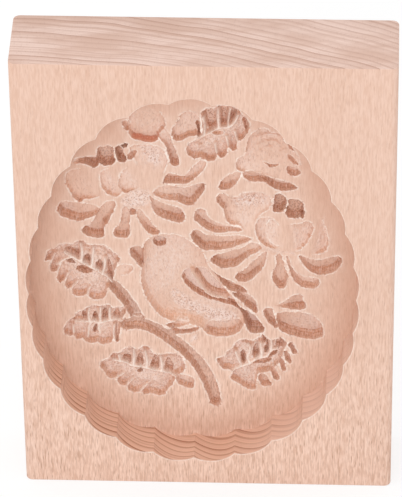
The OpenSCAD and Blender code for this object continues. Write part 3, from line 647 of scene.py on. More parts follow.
class Grain:
    """Where a point of the wood lies, what the cutter did to it, where shade and highlight are painted on
    it, and the patterns of the wood there.
    """

    def __init__(self, desk):
        self.desk = desk
        coords = desk.add("ShaderNodeTexCoord")
        place = desk.add("ShaderNodeVectorMath", {"operation": "SCALE"}, {
            0: coords.outputs["Object"], "Scale": 1.0 / MM})
        self.x, self.y, self.z = desk.split(place.outputs[0])
        _, face_y, self.face_z = desk.split(coords.outputs["Normal"])
        self.end_grain = abs(self.face_z).ramp(0.15, 0.8)
        self.steep = abs(face_y).fade(0.45, 0.95)
        for mark in MARKS:
            setattr(self, mark, desk.num("ShaderNodeAttribute", {"attribute_name": mark}, None, 2))
        for name, pattern in PATTERNS.items():
            setattr(self, name, self.noise(*pattern))

        # cuts known by how far their walls run inwards
        self.breast = self.run.ramp(1.2, 1.8)
        self.stem = self.run.band(0.92, 0.95, 0.99, 1.05)
        self.cell = self.run.band(0.3, 0.34, 0.61, 0.64)

        # growth rings
        radius = ((self.x - PITH[0]) ** 2.0 + (self.y - PITH[1]) ** 2.0).fn("SQRT") + self.sway * RING_SWAY
        count = radius / RING_WIDTH
        self.each = desk.num("ShaderNodeTexWhiteNoise", {"noise_dimensions": "1D"}, {"W": count.fn("FLOOR")})
        self.late = (count.fn("FRACT") ** 4.0) * (self.each * 0.8 + 0.3)
        self.thin = self.row_noise(radius * 1.7, 3.0)

        long_rays, short_rays = (self.flecks(*size) for size in RAYS)
        self.rays = long_rays.fn("MAXIMUM", short_rays)
        self.pores = self.flecks(*PORES)
        # towards the foot of the block the fibres show more
        self.low = 1.0 - self.z.ramp(0.0, 90.0) * 0.55

    def noise(self, across, inwards, along, detail, roughness):
        return self.desk.num("ShaderNodeTexNoise", None, {
            "Vector": self.desk.point(self.x * across, self.y * inwards, self.z * along),
            "Scale": 1.0, "Detail": detail, "Roughness": roughness})

    def row_noise(self, place, detail):
        return self.desk.num("ShaderNodeTexNoise", {"noise_dimensions": "1D"}, {
            "W": place, "Scale": 1.0, "Detail": detail, "Roughness": 0.6})

    def flecks(self, wide, tall, share):
        """Short dark dashes, thin across, tall along the grain, deep into the wood."""
        cells = self.desk.add("ShaderNodeTexVoronoi", {"feature": "F1"}, {
            "Vector": self.desk.point(self.x / wide, self.y / (tall * 3.0), self.z / tall),
            "Scale": 1.0, "Randomness": 1.0})
        picked = self.desk.split(cells.outputs["Color"])[0] < share
        return Num(self.desk, cells.outputs["Distance"]).fade(0.1, 0.36) * picked


def long_tone(g):
    """Colour along the fibres: planed faces, the recess floor and the bottoms of the cuts."""
    # painted light on the floor of the deep wing pocket, lifting it out of its shade
    wing = g.deep.band(0.95, 1.05, 1.4, 1.5)
    return g.desk.coats(
        g.desk.blend(g.low.ramp(0.5, 1.0) * 0.8, PALE, FAIR),
        (g.fibres.ramp(0.36, 0.64) * (g.low * 0.36 + 0.4) + g.streaks.ramp(0.35, 0.65) * 0.14, WARM),
        (g.late * 0.06, DASH),
        (g.hairs.ramp(0.52, 0.66) * (g.low - 0.3) * 0.5, DASH),
        (g.rays * (g.low - 0.2) * 0.8, DASH),
        # painted shade on the recess floor near its walls
        (g.nook * 0.54, SHADE_TONE),
        (g.cut * 0.2, TAWNY),
        # painted shade in the deeper cuts
        (g.deep.ramp(0.5, 0.9) * 0.2, SHADE_TONE),
        # painted light on the wing's deep floor
        (wing * 0.65, FUZZ_AND_LIGHT),
        (g.cut * (g.blotch.ramp(0.42, 0.58) * 0.4 + 0.32) * (g.specks.ramp(0.42, 0.64) * 0.5 + 0.35), FUZZ_AND_LIGHT),
        (g.cut * g.lifted.ramp(0.55, 0.68) * 0.5, RUDDY),
        (g.stem * g.cut * (g.lifted.ramp(0.42, 0.6) * 0.4 + g.z.ramp(24.0, 52.0) * 0.24), RUDDY),
        (g.rough * (g.specks.ramp(0.44, 0.6) * 0.65 + 0.25), FUZZ_AND_LIGHT),
        (g.rough * g.spots.ramp(0.53, 0.62) * 0.85, RUDDY),
        # steep cut walls burnt, and darker with depth as painted shade
        (g.cut * g.steep * (g.deep * 0.25 + 0.12), BURNT_AND_SHADE))


def end_tone(g):
    """Colour across the fibres: sawn at the two ends, burnt by the cutter inside, with painted shade that
    deepens with the cut and painted light on the recess walls towards the right.
    """
    sawn = g.desk.coats(
        BRIGHT,
        (g.cloud.ramp(0.36, 0.66) * 0.8, ROSY),
        (g.each * 0.35 + g.thin.ramp(0.42, 0.7) * 0.55, ROSY),
        ((g.late + g.pores * 0.25).fn("MINIMUM", 0.9), RUDDY))
    # painted light: towards the right the recess's end-grain walls are lighter, less burnt and with fainter
    # rings
    lit_right = (1.0 - g.cut) * g.x.ramp(0.0, 34.0)
    # burnt by the cutter, with painted shade that deepens with the cut and painted light that eases it on
    # the right
    heat_and_shade = 0.16 - lit_right * 0.12 + g.cut * (g.specks.ramp(0.35, 0.65) * 0.4 + 0.25) + g.deep * 0.25
    rings = (g.late * 1.8 + g.thin.ramp(0.5, 0.75) * 0.55) * (0.7 - g.cut * 0.4 - lit_right * 0.42)
    passes = g.row_noise(g.y * 2.1 + g.specks * 0.7, 2.0)
    (bud_x, bud_z), (bud_wide, bud_tall) = RED_BUD
    bud = (((g.x - bud_x) / bud_wide) ** 2.0 + ((g.z - bud_z) / bud_tall) ** 2.0).fade(0.4, 1.2)
    seared = g.desk.coats(
        g.desk.blend(0.7, sawn, TAWNY),
        (heat_and_shade, BURNT_AND_SHADE),
        (rings, SCORCH_AND_SHADE),
        (g.cut * passes.ramp(0.5, 0.66) * 0.65, SCORCH_AND_SHADE),
        (g.cut * passes.fade(0.34, 0.46) * 0.55, FUZZ_AND_LIGHT),
        (g.cut * g.hatch.ramp(0.5, 0.64) * 0.5, SCORCH_AND_SHADE),
        (g.cut * g.hatch.fade(0.34, 0.47) * 0.6, FUZZ_AND_LIGHT),
        (bud * g.cut * 0.8, SINGED),
        (g.cut * g.spots.ramp(0.56, 0.7) * 0.4, SCORCH_AND_SHADE),
        (g.cut * g.spots.fade(0.3, 0.42) * 0.35, FIBRE_AND_GLINT),
        (g.cut * g.deep.fade(0.04, 0.42) * (g.hatch.ramp(0.4, 0.6) * 0.4 + 0.25), TAWNY),
        # painted light on the recess walls towards the right
        (lit_right * 0.4, BRIGHT),
        (g.breast * 0.35, TAWNY))
    inside = g.z.band(2.0, 3.0, BLOCK["Height"] - 3.0, BLOCK["Height"] - 2.0)
    return g.desk.blend(inside, sawn, seared)


def beech():
    """Raw sanded beech: growth rings about a pith in front of the block, rays and fibres along Z."""
    wood = bpy.data.materials.new("beech")
    d = cleared_desk(wood)
    g = Grain(d)
    # painted shade in the crease along the lower part of a cut's up-facing wall
    crease_shade = g.cut * g.face_z.band(0.1, 0.38, 0.55, 0.92) * g.deep.ramp(0.3, 0.6) * (1.0 - g.breast)
    crease_shade = crease_shade * (1.0 - g.rough * 0.6) * (g.specks.ramp(0.38, 0.6) * 0.4 + 0.18)
    # loose fibres along cut edges, and a painted highlight where edges and veins catch the light
    loose_and_glint = g.torn * (g.patches.ramp(0.38, 0.58) * 0.6 + 0.4) * (1.0 - g.steep * 0.9)
    fluff_and_glint = (g.tufts.ramp(0.4, 0.6) * 0.5 + 0.5) * g.vein.fn("MAXIMUM", loose_and_glint)
    tone = d.coats(
        d.blend(g.end_grain, long_tone(g), end_tone(g)),
        (crease_shade, SCORCH_AND_SHADE),
        (g.cell * g.cut * g.spots.ramp(0.5, 0.6) * 0.5, SCORCH_AND_SHADE),
        (g.cell * g.cut * g.spots.fade(0.38, 0.47) * 0.6, TAWNY),
        (fluff_and_glint, FIBRE_AND_GLINT))
    height = (g.fibres * 0.35 - g.rays * 0.4 - g.pores * g.end_grain * 0.5 - g.late * g.end_grain * 0.6
              + fluff_and_glint * 1.2 + g.cut * g.specks * 1.4)
    bump = d.add("ShaderNodeBump", None, {"Strength": 0.5, "Distance": 0.15 * MM, "Height": height})
    skin = d.add("ShaderNodeBsdfPrincipled", None, {
        "Base Color": tone, "Roughness": 0.62 + g.fibres * 0.16 - g.rays * 0.08,
        "Normal": bump.outputs[0], "Specular IOR Level": 0.28})
    d.add("ShaderNodeOutputMaterial", None, {"Surface": skin.outputs[0]})
    return wood


WOOD = beech()


# The block: a rule in sizes, drawn as a geometry node tree

def scalloped_rim(d, size):
    """The rim of the recess, drawn flat: an arc over each pair of notches, evenly along an oval."""
    index = d.num("GeometryNodeInputIndex")
    turn = index * (2 * math.pi) / size["Oval points"]
    across = size["Oval width"] / 2.0 * turn.fn("COSINE") * (1.0 - size["Oval taper"] * turn.fn("SINE"))
    up = size["Oval height"] / 2.0 * turn.fn("SINE")
    ring = d.add("GeometryNodeCurvePrimitiveCircle", None, {"Resolution": size["Oval points"]})
    oval = d.add("GeometryNodeSetPosition", None, {
        "Geometry": ring.outputs[0],
        "Position": d.point(across + size["Oval shift"], up + size["Oval middle"], 0.0)})

    def notch(number):
        along = ((number + size["Scallop turn"]) / size["Scallops"]).fn("FRACT")
        found = d.add("GeometryNodeSampleCurve", {"mode": "FACTOR"}, {
            "Curves": oval.outputs[0], "Factor": along})
        return d.split(found.outputs["Position"])

    scallop = (index / size["Scallop steps"]).fn("FLOOR")
    share = (index / size["Scallop steps"]).fn("FRACT")
    ax, ay, _ = notch(scallop)
    bx, by, _ = notch(scallop + 1.0)
    chord = ((bx - ax) ** 2.0 + (by - ay) ** 2.0).fn("SQRT")
    dx, dy = (bx - ax) / chord, (by - ay) / chord
    _, middle, _ = notch(scallop + 0.5)
    endwards = ((middle - size["Oval middle"]) / (size["Oval height"] / 2.0)) ** 2.0
    bulge = size["Side bulge"] + (size["End bulge"] - size["Side bulge"]) * endwards
    radius = (chord * chord / 4.0 + bulge * bulge) / (bulge * 2.0)
    swing = (share * 2.0 - 1.0) * (chord / (radius * 2.0)).fn("ARCSINE")
    run = radius * swing.fn("SINE")
    out = radius * swing.fn("COSINE") - radius + bulge
    rim_x = (ax + bx) / 2.0 + dx * run + dy * out
    rim_y = (ay + by) / 2.0 + dy * run - dx * out
    loop = d.add("GeometryNodeMeshCircle", {"fill_type": "NONE"}, {
        "Vertices": size["Scallops"] * size["Scallop steps"]})
    return d.add("GeometryNodeSetPosition", None, {
        "Geometry": loop.outputs[0], "Position": d.point(rim_x, rim_y, 0.0)}).outputs[0]


def block_tree(values):
    """A board with a recess in its front, without the recess floor. Each value is an input of the tree."""
    tree = bpy.data.node_groups.new("scalloped_block", "GeometryNodeTree")
    tree.interface.new_socket("Block", in_out="OUTPUT", socket_type="NodeSocketGeometry")
    kinds = {float: "NodeSocketFloat", int: "NodeSocketInt"}
    for name, value in values.items():
        kind = kinds.get(type(value), "NodeSocketMaterial")
        tree.interface.new_socket(name, in_out="INPUT", socket_type=kind)
    d = Desk(tree)
    size = {out.name: Num(d, out) for out in d.add("NodeGroupInput").outputs if out.name}
    rim = scalloped_rim(d, size)

    def stood(geometry):
        """A flat drawing, stood up on the carved side."""
        return d.add("GeometryNodeTransform", None, {
            "Geometry": geometry, "Translation": d.point(0.0, size["Thickness"] / -2.0, 0.0),
            "Rotation": (math.pi / 2, 0.0, 0.0)}).outputs[0]

    sheet = d.add("GeometryNodeCurvePrimitiveQuadrilateral", None, {
        "Width": size["Width"] - size["Edge radius"] * 2.0, "Height": size["Height"]})
    sheet = d.add("GeometryNodeTransform", None, {
        "Geometry": sheet.outputs[0], "Translation": d.point(0.0, size["Height"] / 2.0, 0.0)})
    rim_line = d.add("GeometryNodeMeshToCurve", None, {0: rim})
    both = d.add("GeometryNodeJoinGeometry", None, {0: [sheet.outputs[0], rim_line.outputs[0]]})
    face = d.add("GeometryNodeFillCurve", None, {0: both.outputs[0]})
    wall = d.add("GeometryNodeExtrudeMesh", {"mode": "EDGES"}, {
        "Mesh": stood(rim), "Offset": d.point(0.0, 1.0, 0.0), "Offset Scale": size["Recess depth"]})

    plan = d.add("GeometryNodeCurvePrimitiveQuadrilateral", None, {
        "Width": size["Width"], "Height": size["Thickness"]})
    plan = d.add("GeometryNodeFilletCurve", {"mode": "POLY"}, {
        "Curve": plan.outputs[0], "Radius": size["Edge radius"], "Count": size["Round steps"]})
    end = d.add("GeometryNodeFillCurve", {"mode": "NGONS"}, {0: plan.outputs[0]})
    board = d.add("GeometryNodeExtrudeMesh", {"mode": "FACES"}, {
        "Mesh": end.outputs[0], "Offset": d.point(0.0, 0.0, 1.0), "Offset Scale": size["Height"],
        "Individual": False})
    normal_y = d.split(d.add("GeometryNodeInputNormal").outputs[0])[1]
    sides = d.add("GeometryNodeDeleteGeometry", {"domain": "FACE"}, {
        "Geometry": board.outputs[0], "Selection": normal_y < -DEAD_SQUARE})
    foot = d.add("GeometryNodeFlipFaces", None, {0: end.outputs[0]})
    whole = d.add("GeometryNodeJoinGeometry", None, {
        0: [stood(face.outputs[0]), wall.outputs[0], sides.outputs[0], foot.outputs[0]]})
    whole = d.add("GeometryNodeMergeByDistance", None, {"Geometry": whole.outputs[0], "Distance": SEAM * MM})
    whole = d.add("GeometryNodeRealizeInstances", None, {0: whole.outputs[0]})
    whole = d.add("GeometryNodeSetMaterial", None, {
        "Geometry": whole.outputs[0], "Material": size["Wood"]})
    d.add("NodeGroupOutput", None, {0: whole.outputs[0]})
    return tree


def block_shell():
    """The block without the recess floor, as a plain mesh."""
    values = {name: size * MM for name, size in BLOCK.items()} | SHARES | COUNTS | {"Wood": WOOD}
    tree = block_tree(values)
    holder = bpy.data.objects.new("block_rule", bpy.data.meshes.new("block_rule"))
    bpy.context.collection.objects.link(holder)
    rule = holder.modifiers.new("rule", "NODES")
    rule.node_group = tree
    for socket in tree.interface.items_tree:
        if socket.in_out == "INPUT":
            rule[socket.identifier] = values[socket.name]
    seen = holder.evaluated_get(bpy.context.evaluated_depsgraph_get())
    mesh = bpy.data.meshes.new_from_object(seen)
    bpy.data.objects.remove(holder)
    return mesh


# The carving: pockets with steep rounded walls, sunk into the recess floor

chance = np.random.default_rng(SEED)
LATTICE = chance.uniform(-1, 1, (LATTICE_SIDE, LATTICE_SIDE))
Sunk = namedtuple("Sunk", "depth edge ridge rough run")


def smooth_step(t):
    t = np.clip(t, 0, 1)
    return t * t * (3 - 2 * t)


def smooth_loop(points, closed=True):
    """A smooth line through the points, at even steps."""
    p = np.array(points, float)
    if closed:
        p = np.vstack([p[-1], p, p[0], p[1]])
    else:
        p = np.vstack([2 * p[0] - p[1], p, 2 * p[-1] - p[-2]])
    t = np.linspace(0, 1, SPAN_POINTS, endpoint=False)[:, None]
    fine = []
    for p0, p1, p2, p3 in zip(p[:-3], p[1:-2], p[2:-1], p[3:]):
        fine.append(0.5 * (2 * p1 + (p2 - p0) * t + (2 * p0 - 5 * p1 + 4 * p2 - p3) * t ** 2
                           + (3 * p1 - p0 - 3 * p2 + p3) * t ** 3))
    fine = np.vstack(fine + ([fine[0][:1]] if closed else [p[-2:-1]]))
    run = np.concatenate([[0], np.cumsum(np.linalg.norm(np.diff(fine, axis=0), axis=1))])
    at = np.linspace(0, run[-1], max(FEWEST_STEPS, int(run[-1] / STEP)) + 1)
    line = np.stack([np.interp(at, run, fine[:, i]) for i in (0, 1)], 1)
    return line[:-1] if closed else line


def channel(points, width, tip=1.0):
    """Outline of a bent channel with round ends, the first with a share of the width."""
    line = smooth_loop(points, closed=False)
    width = width * (tip + (1 - tip) * smooth_step(np.linspace(0, CHANNEL_PARTS, len(line))))[:, None]
    way = np.gradient(line, axis=0)
    way /= np.linalg.norm(way, axis=1)[:, None]
    left = np.stack([-way[:, 1], way[:, 0]], 1) * width / 2
    half = np.linspace(0, math.pi, ROUND_POINTS)[1:-1, None]
    far = line[-1] + left[-1] * np.cos(half) + way[-1] * width[-1] / 2 * np.sin(half)
    near = line[0] - left[0] * np.cos(half) - way[0] * width[0] / 2 * np.sin(half)
    return np.vstack([line + left, far, (line - left)[::-1], near])


def disc(x, z, across):
    """A round outline."""
    count = max(ROUND_POINTS, int(math.pi * across / STEP))
    turn = np.linspace(0, 2 * math.pi, count, endpoint=False)
    return np.stack([x + across / 2 * np.cos(turn), z + across / 2 * np.sin(turn)], 1)


def signed_area(outline):
    """Area of an outline, negative if its points run clockwise."""
    nxt = np.roll(outline, -1, axis=0)
    return (outline[:, 0] * nxt[:, 1] - nxt[:, 0] * outline[:, 1]).sum() / 2


def outset(outline, by):
    """An outline moved outwards, by one distance or one for each point."""
    way = np.roll(outline, -1, axis=0) - np.roll(outline, 1, axis=0)
    way /= np.maximum(np.linalg.norm(way, axis=1), TINY)[:, None]
    side = np.stack([way[:, 1], -way[:, 0]], 1) * math.copysign(1.0, signed_area(outline))
    return outline + side * np.reshape(by, (-1, 1))


def mean_width(outline):
    """About how wide a long, narrow outline is."""
    around = np.linalg.norm(np.roll(outline, -1, axis=0) - outline, axis=1).sum()
    return 2 * abs(signed_area(outline)) / around


def ragged(outline):
    """An outline as a cutter tears it across the fibres."""
    jump = chance.uniform(-RAGGED, RAGGED, len(outline))
    return outset(outline, (np.roll(jump, 1) + jump * 2 + np.roll(jump, -1)) / 2)


def petal(line):
    """A narrow petal's cut, which deepens from its first point towards its far end."""
    loop, root = smooth_loop(line), np.array(line[0])
    away = np.array(line) - root
    far = away[int(np.linalg.norm(away, axis=1).argmax())]
    deep, run = CUT["finger"]
    return loop, min(deep, mean_width(loop)), run, (root, root + far * PETAL_REACH, TIP_SHARE)


def all_cuts():
    """(outline, depth, run of the wall, form) of every cut.

    The form is None, a slope (shallow point, deep point, share of the depth at the shallow one) or a rise
    inwards (share of the depth, width).
    """
    kinds = [("bird", [BIRD]), ("beak", [BEAK, BELLY]), ("wing", WING[:1]), ("second", WING[1:]),
             ("feather", FEATHERS), ("foot", FEET), ("lobe", LEAF_LOBES), ("cell", CELLS), ("rough", ROUGH)]
    cuts = [(smooth_loop(line), *CUT[kind], None) for kind, lines in kinds for line in lines]
    cuts += [(smooth_loop(line), *CUT["leaf"], LEAF_RISE) for line in LEAVES]
    cuts += [petal(line) for line in FINGERS]
    for deep, high, low, line in SCOOPS:
        cuts.append((smooth_loop(line), deep, SCOOP_RUN, (np.array(high), np.array(low), 0.0)))
    cuts.append((disc(*EYE), *CUT["eye"], None))
    cuts.append((channel(BRANCH, BRANCH_WIDTH, BRANCH_TIP), *CUT["stem"], None))
    cuts.append((channel(TWIG, TWIG_WIDTH), *CUT["stem"], None))
    return [(ragged(outline), *rest) for outline, *rest in cuts]


def unevenness(points):
    """Seeded wandering between -1 and 1, longer along the fibres."""
    at = points / UNEVEN_SPAN + LATTICE_START
    low = np.floor(at).astype(int)
    share = smooth_step(at - low)

    def row(up):
        z = (low[:, 1] + up) % len(LATTICE)
        left, right = (LATTICE[(low[:, 0] + x) % len(LATTICE), z] for x in (0, 1))
        return left * (1 - share[:, 0]) + right * share[:, 0]

    return row(0) * (1 - share[:, 1]) + row(1) * share[:, 1]


def nearest(points, starts, ways):
    """Distance of each point from the nearest of many straight steps."""
    rel = points[:, None, :] - starts[None]
    t = np.clip((rel * ways).sum(2) / np.maximum((ways * ways).sum(1), TINY), 0, 1)
    gap = rel - t[..., None] * ways
    return np.sqrt((gap * gap).sum(2)).min(1)


def edge_distance(points, outline):
    """Distance of each point from the outline, positive inside."""
    ends = np.roll(outline, -1, axis=0)
    way = ends - outline
    near = nearest(points, outline, way)
    above = (outline[:, 1] > points[:, 1, None]) != (ends[:, 1] > points[:, 1, None])
    rise = np.where(np.abs(way[:, 1]) < TINY, TINY, way[:, 1])
    cross = outline[:, 0] + (points[:, 1, None] - outline[:, 1]) * way[:, 0] / rise
    inside = (above & (points[:, 0, None] < cross)).sum(1) % 2 == 1
    return np.where(inside, near, -near)


def edge_distance_many(points, outline):
    """The same for many points, in handy batches."""
    parts = np.array_split(points, len(points) // BATCH + 1)
    return np.concatenate([edge_distance(part, outline) for part in parts])


def near_box(points, line, reach):
    """Numbers of the points near a line's box, in handy batches."""
    hit = np.nonzero(((points >= line.min(0) - reach) & (points <= line.max(0) + reach)).all(1))[0]
    return [part for part in np.array_split(hit, len(hit) // BATCH + 1) if len(part)]


def sunk(points, cuts, reach=1.0):
    """What the cuts do to each point.

    Its depth, its distance to the nearest cut edge and to the nearest vein, how rough it is, and how far
    the wall of its deepest cut runs inwards.
    """
    depth, rough, wall_run = np.zeros((3, len(points)))
    edge, ridge = np.full((2, len(points)), reach)
    for outline, deep, run, form in cuts:
        for part in near_box(points, outline, reach):
            s = edge_distance(points[part], outline)
            t = np.clip(s / run, 0, 1)
            sink = deep * np.sqrt(1 - (1 - t) ** 2)
            sink -= PASS_STEP[0] * (1 - np.cos(s * 2 * math.pi / PASS_STEP[1])) * (t > 0)
            share = np.ones(len(part))
            if form and len(form) == 3:
                shallow, low, tip_share = form
                way = low - shallow
                along = (points[part] - shallow) @ way / (way @ way)
                share = tip_share + (1 - tip_share) * smooth_step(along)
            elif form:
                inner, span = form
                share = 1 - (1 - inner) * smooth_step((s - run) / span)
                rough[part] = np.maximum(rough[part], LEAF_ROUGH * smooth_step(t))
            lowest = (sink * share >= depth[part]) & (s > -RUN_MARGIN)
            wall_run[part] = np.where(lowest, run, wall_run[part])
            depth[part] = np.maximum(depth[part], sink * share)
            if deep > SOFT:
                edge[part] = np.minimum(edge[part], np.where(share > EDGE_SHARE, np.abs(s), reach))
            else:
                rough[part] = np.maximum(rough[part], smooth_step(t))
    for line, rise, half in RIDGES:
        line = smooth_loop(line, closed=False)
        for part in near_box(points, line, half * RIDGE_REACH):
            gap = nearest(points[part], line[:-1], np.diff(line, axis=0))
            depth[part] *= 1 - rise * np.exp(-(gap / half) ** 2)
            if rise == VEIN_RISE:
                ridge[part] = np.minimum(ridge[part], np.where(depth[part] > 0, gap, reach))
    depth += UNEVEN * (1 + ROUGH_MORE * rough) * unevenness(points) * np.clip(depth / UNEVEN_DEPTH, 0, 1)
    return Sunk(np.maximum(depth, 0.0), edge, ridge, rough, wall_run)


def grid(rim, step):
    """Rows of points over a rim's box."""
    across, up = (np.arange(low, high, step) for low, high in zip(rim.min(0), rim.max(0)))
    return np.stack(np.meshgrid(across, up), -1)


def carved_floor(rim):
    """(points, what the cuts do to them, distances to the rim, triangles) of the floor inside a rim."""
    cuts = all_cuts()
    fine = grid(rim, STEP)
    fine[1::2, :, 0] += STEP / 2
    fine = fine.reshape(-1, 2)
    fine = fine[sunk(fine, cuts).depth > FINE_DEPTH]
    coarse = grid(rim, COARSE_STEP).reshape(-1, 2)
    coarse = coarse[edge_distance(coarse, rim) > COARSE_ROOM]
    found = sunk(coarse, cuts)
    coarse = coarse[(found.depth == 0) & (found.edge > EDGE_ROOM)]
    lines = np.vstack([cut[0] for cut in cuts])
    lines = lines[sunk(lines, cuts).depth < LINE_DEPTH]
    banks = np.vstack([outset(cut[0][::BANK_SKIP], BANK) for cut in cuts])
    found = sunk(banks, cuts)
    banks = banks[(found.depth == 0) & (found.edge > BANK_ROOM)]
    inner = np.vstack([lines, banks, fine, coarse])
    inner = inner[edge_distance_many(inner, rim) > RIM_ROOM]
    points = [Vector(p) for p in np.vstack([rim, inner]).tolist()]
    placed, _, faces, *_ = delaunay_2d_cdt(points, [], [list(range(len(rim)))], 1, CORNER_NEAR, True)
    flat = np.array([tuple(p) for p in placed])
    faces = np.array(faces)
    # triangles between rim points alone may lie outside a notch
    outer = np.nonzero(faces.max(1) < len(rim))[0]
    faces = np.delete(faces, outer[edge_distance(flat[faces[outer]].mean(1), rim) < 0], axis=0)
    return flat, sunk(flat, cuts), edge_distance_many(flat, rim[::RIM_SKIP]), faces.tolist()


def ordered_loop(edges):
    """The vertices of one closed row of edges, in order."""
    start = edges[0].verts[0]
    loop, edge = [start], edges[0]
    left = set(edges)
    while True:
        left.discard(edge)
        nxt = edge.other_vert(loop[-1])
        if nxt is start:
            return loop
        loop.append(nxt)
        edge = next(e for e in nxt.link_edges if e in left)


def between(edge, is_one, is_other):
    """Whether an edge lies between a face of one kind and a face of another."""
    if len(edge.link_faces) != 2:
        return False
    f, g = edge.link_faces
    return (is_one(f) and is_other(g)) or (is_one(g) and is_other(f))


def eased(bm, edges, by, clamped):
    """Rounds edges off by a bevel, and gives its vertices."""
    return bmesh.ops.bevel(bm, geom=edges, offset=by * MM, segments=2, profile=0.5, affect="EDGES",
                           clamp_overlap=clamped)["verts"]


def eased_lip(bm):
    """Eases the ends and the lip of the recess. Gives the vertices along the lip's bevel."""
    rim_y, top = FACE_Y * MM, BLOCK["Height"] * MM

    def is_end(f):
        height = f.calc_center_median().z
        return abs(f.normal.z) > FACING and (height < NEAR or height > top - NEAR)

    def is_front(f):
        return f.normal.y < -FACING and abs(f.calc_center_median().y - rim_y) < NEAR

    eased(bm, [e for e in bm.edges if between(e, is_end, lambda f: not is_end(f))], END_EASE, True)
    lip = [e for e in bm.edges if between(e, is_front, lambda f: abs(f.normal.y) < EDGE_ON)]
    lip = [e for e in lip if all(abs(v.co.y - rim_y) < NEAR for v in e.verts)]
    return eased(bm, lip, RIM_EASE, False)


def carved_block():
    """The eased block, closed by the carved floor, with the marks of the cutter, painted shade and painted
    highlight on its vertices.
    """
    shell = block_shell()
    bm = bmesh.new()
    bm.from_mesh(shell)
    bpy.data.meshes.remove(shell)
    mark = {name: bm.verts.layers.float.new(name) for name in MARKS}
    bmesh.ops.recalc_face_normals(bm, faces=bm.faces)
    lip = {v: (v.co.y / MM - FACE_Y) / RIM_EASE for v in eased_lip(bm)}
    # loose fibres and a painted highlight along the middle of the lip's bevel
    for v, share in lip.items():
        if LIP_MIDDLE[0] < share < LIP_MIDDLE[1]:
            v[mark["torn"]], v[mark["vein"]] = 1.0, LIP_FLUFF_GLINT
    lip_rows = [{v for v, share in lip.items() if abs(share - row) < ROW_NEAR} for row in (0.0, 1.0)]
    floor_loop = ordered_loop([e for e in bm.edges if len(e.link_faces) == 1])
    rim = np.array([(v.co.x, v.co.z) for v in floor_loop]) / MM
    flat, found, room, faces = carved_floor(rim)
    # painted highlight, with loose fibres, along cut edges and veins
    glint_width = np.where(found.depth > ON_EDGE, *EDGE_TEAR_GLINT)
    marks = {
        "torn": np.exp(-(found.edge / glint_width) ** 2),
        "cut": np.where(found.edge < ON_EDGE, 1.0, np.clip(found.depth / CUT_DEPTH, 0, 1)),
        "deep": found.depth / DEEP,
        # painted shade on the floor near the recess walls
        "nook": np.exp(-(room / WALL_SHADE_REACH) ** 2),
        "rough": found.rough,
        "vein": np.exp(-(found.ridge / VEIN_TEAR_GLINT) ** 2),
        "run": found.run,
    }
    places = zip(flat.tolist(), found.depth.tolist())
    verts = [bm.verts.new((x * MM, (FLOOR_Y + deep) * MM, z * MM)) for (x, z), deep in places]
    for name, values in marks.items():
        for v, value in zip(verts, values.tolist()):
            v[mark[name]] = value
    for face in faces:
        bm.faces.new([verts[i] for i in face])
    bmesh.ops.remove_doubles(bm, verts=bm.verts, dist=WELD * MM)
    bmesh.ops.recalc_face_normals(bm, faces=bm.faces)
    for e in bm.edges:
        along = any(e.verts[0] in row and e.verts[1] in row for row in lip_rows)
        e.smooth = not along and e.calc_face_angle(0.0) < SHARP_TURN
    mesh = bpy.data.meshes.new("carved_block_wood")
    bm.to_mesh(mesh)
    bm.free()
    mesh.materials.clear()
    mesh.materials.append(WOOD)
    mesh.polygons.foreach_set("use_smooth", [True] * len(mesh.polygons))
    wooden = bpy.data.objects.new("carved_block_wood", mesh)
    bpy.context.collection.objects.link(wooden)
    return wooden


piece = carved_block()
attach(piece, "root")
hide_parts("carved_block")


# Floor, light and camera

def seen_as_backdrop(d):
    """1 for what the camera sees, also in a gloss or through glass."""
    path = d.add("ShaderNodeLightPath")
    kinds = ("Is Camera Ray", "Is Glossy Ray", "Is Transmission Ray")
    camera, gloss, glass = (Num(d, path.outputs[kind]) for kind in kinds)
    return camera.fn("MAXIMUM", gloss).fn("MAXIMUM", glass)


def floor():
    """White paper that shows the block's shadow faintly."""
    paper = bpy.data.materials.new("white_paper")
    d = cleared_desk(paper)
    plain = d.add("ShaderNodeBsdfDiffuse", None, {"Color": PAPER})
    thin = d.add("ShaderNodeBsdfDiffuse", None, {"Color": THIN_PAPER})
    lit = d.add("ShaderNodeEmission", None, {"Color": WHITE, "Strength": PAPER_GLOW})
    seen = d.add("ShaderNodeAddShader", None, {0: thin.outputs[0], 1: lit.outputs[0]})
    mixed = d.add("ShaderNodeMixShader", None, {
        0: seen_as_backdrop(d), 1: plain.outputs[0], 2: seen.outputs[0]})
    d.add("ShaderNodeOutputMaterial", None, {"Surface": mixed.outputs[0]})
    mesh = bpy.data.meshes.new("studio_floor")
    side = FLOOR_SIDE / 2
    corners = [(-side, -side, 0), (side, -side, 0), (side, side, 0), (-side, side, 0)]
    mesh.from_pydata(corners, [], [(0, 1, 2, 3)])
    mesh.materials.append(paper)
    sheet = bpy.data.objects.new("studio_floor", mesh)
    bpy.context.collection.objects.link(sheet)


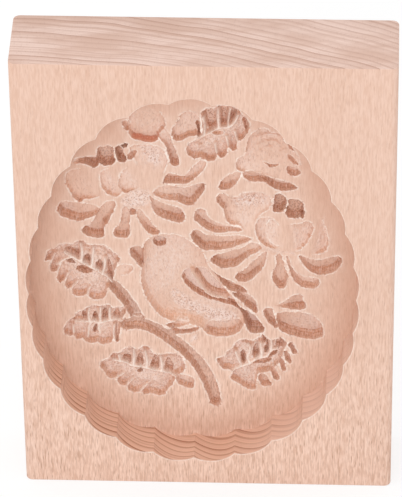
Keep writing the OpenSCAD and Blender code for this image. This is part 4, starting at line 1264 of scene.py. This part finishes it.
def softbox(name, place, aim, side, power):
    """A square lamp at a place, turned to what it aims at."""
    lamp = bpy.data.lights.new(name, "AREA")
    lamp.shape = "SQUARE"
    lamp.size = side
    lamp.energy = power
    holder = bpy.data.objects.new(name, lamp)
    holder.location = place
    holder.rotation_euler = (Vector(aim) - Vector(place)).to_track_quat("-Z", "Y").to_euler()
    bpy.context.collection.objects.link(holder)


def studio():
    """A soft white room, with two softboxes."""
    world = bpy.data.worlds.new("studio")
    d = cleared_desk(world)
    glow = d.add("ShaderNodeBackground", None, {"Color": WHITE, "Strength": ROOM_GLOW})
    white = d.add("ShaderNodeBackground", None, {"Color": WHITE, "Strength": 1.0})
    mixed = d.add("ShaderNodeMixShader", None, {
        0: seen_as_backdrop(d), 1: glow.outputs[0], 2: white.outputs[0]})
    d.add("ShaderNodeOutputWorld", None, {"Surface": mixed.outputs[0]})
    bpy.context.scene.world = world
    for box in SOFTBOXES:
        softbox(*box)


def photo_camera():
    """The photographer's place, fitted to the block's edges."""
    yaw, pitch, roll = (math.radians(turn) for turn in CAMERA_TURN)
    aim = Vector((CAMERA_AIM[0], FACE_Y, CAMERA_AIM[1])) * MM
    ahead = Vector((math.sin(yaw) * math.cos(pitch), math.cos(yaw) * math.cos(pitch), -math.sin(pitch)))
    right = Vector((math.cos(yaw), -math.sin(yaw), 0))
    down = ahead.cross(right)
    side = math.cos(roll) * right + math.sin(roll) * down
    below = -math.sin(roll) * right + math.cos(roll) * down
    lens = bpy.data.cameras.new("photo_camera")
    lens.sensor_width = FILM
    lens.lens = FOCAL_PX * FILM / PHOTO_TALL_PX
    lens.clip_start, lens.clip_end = 0.05, 50.0
    holder = bpy.data.objects.new("photo_camera", lens)
    turn = Matrix((side, -below, -ahead)).transposed().to_4x4()
    holder.matrix_world = Matrix.Translation(aim - ahead * CAMERA_AWAY * MM) @ turn
    bpy.context.collection.objects.link(holder)
    bpy.context.scene.camera = holder


floor()
studio()
photo_camera()
bpy.context.scene.view_settings.view_transform = "Standard"
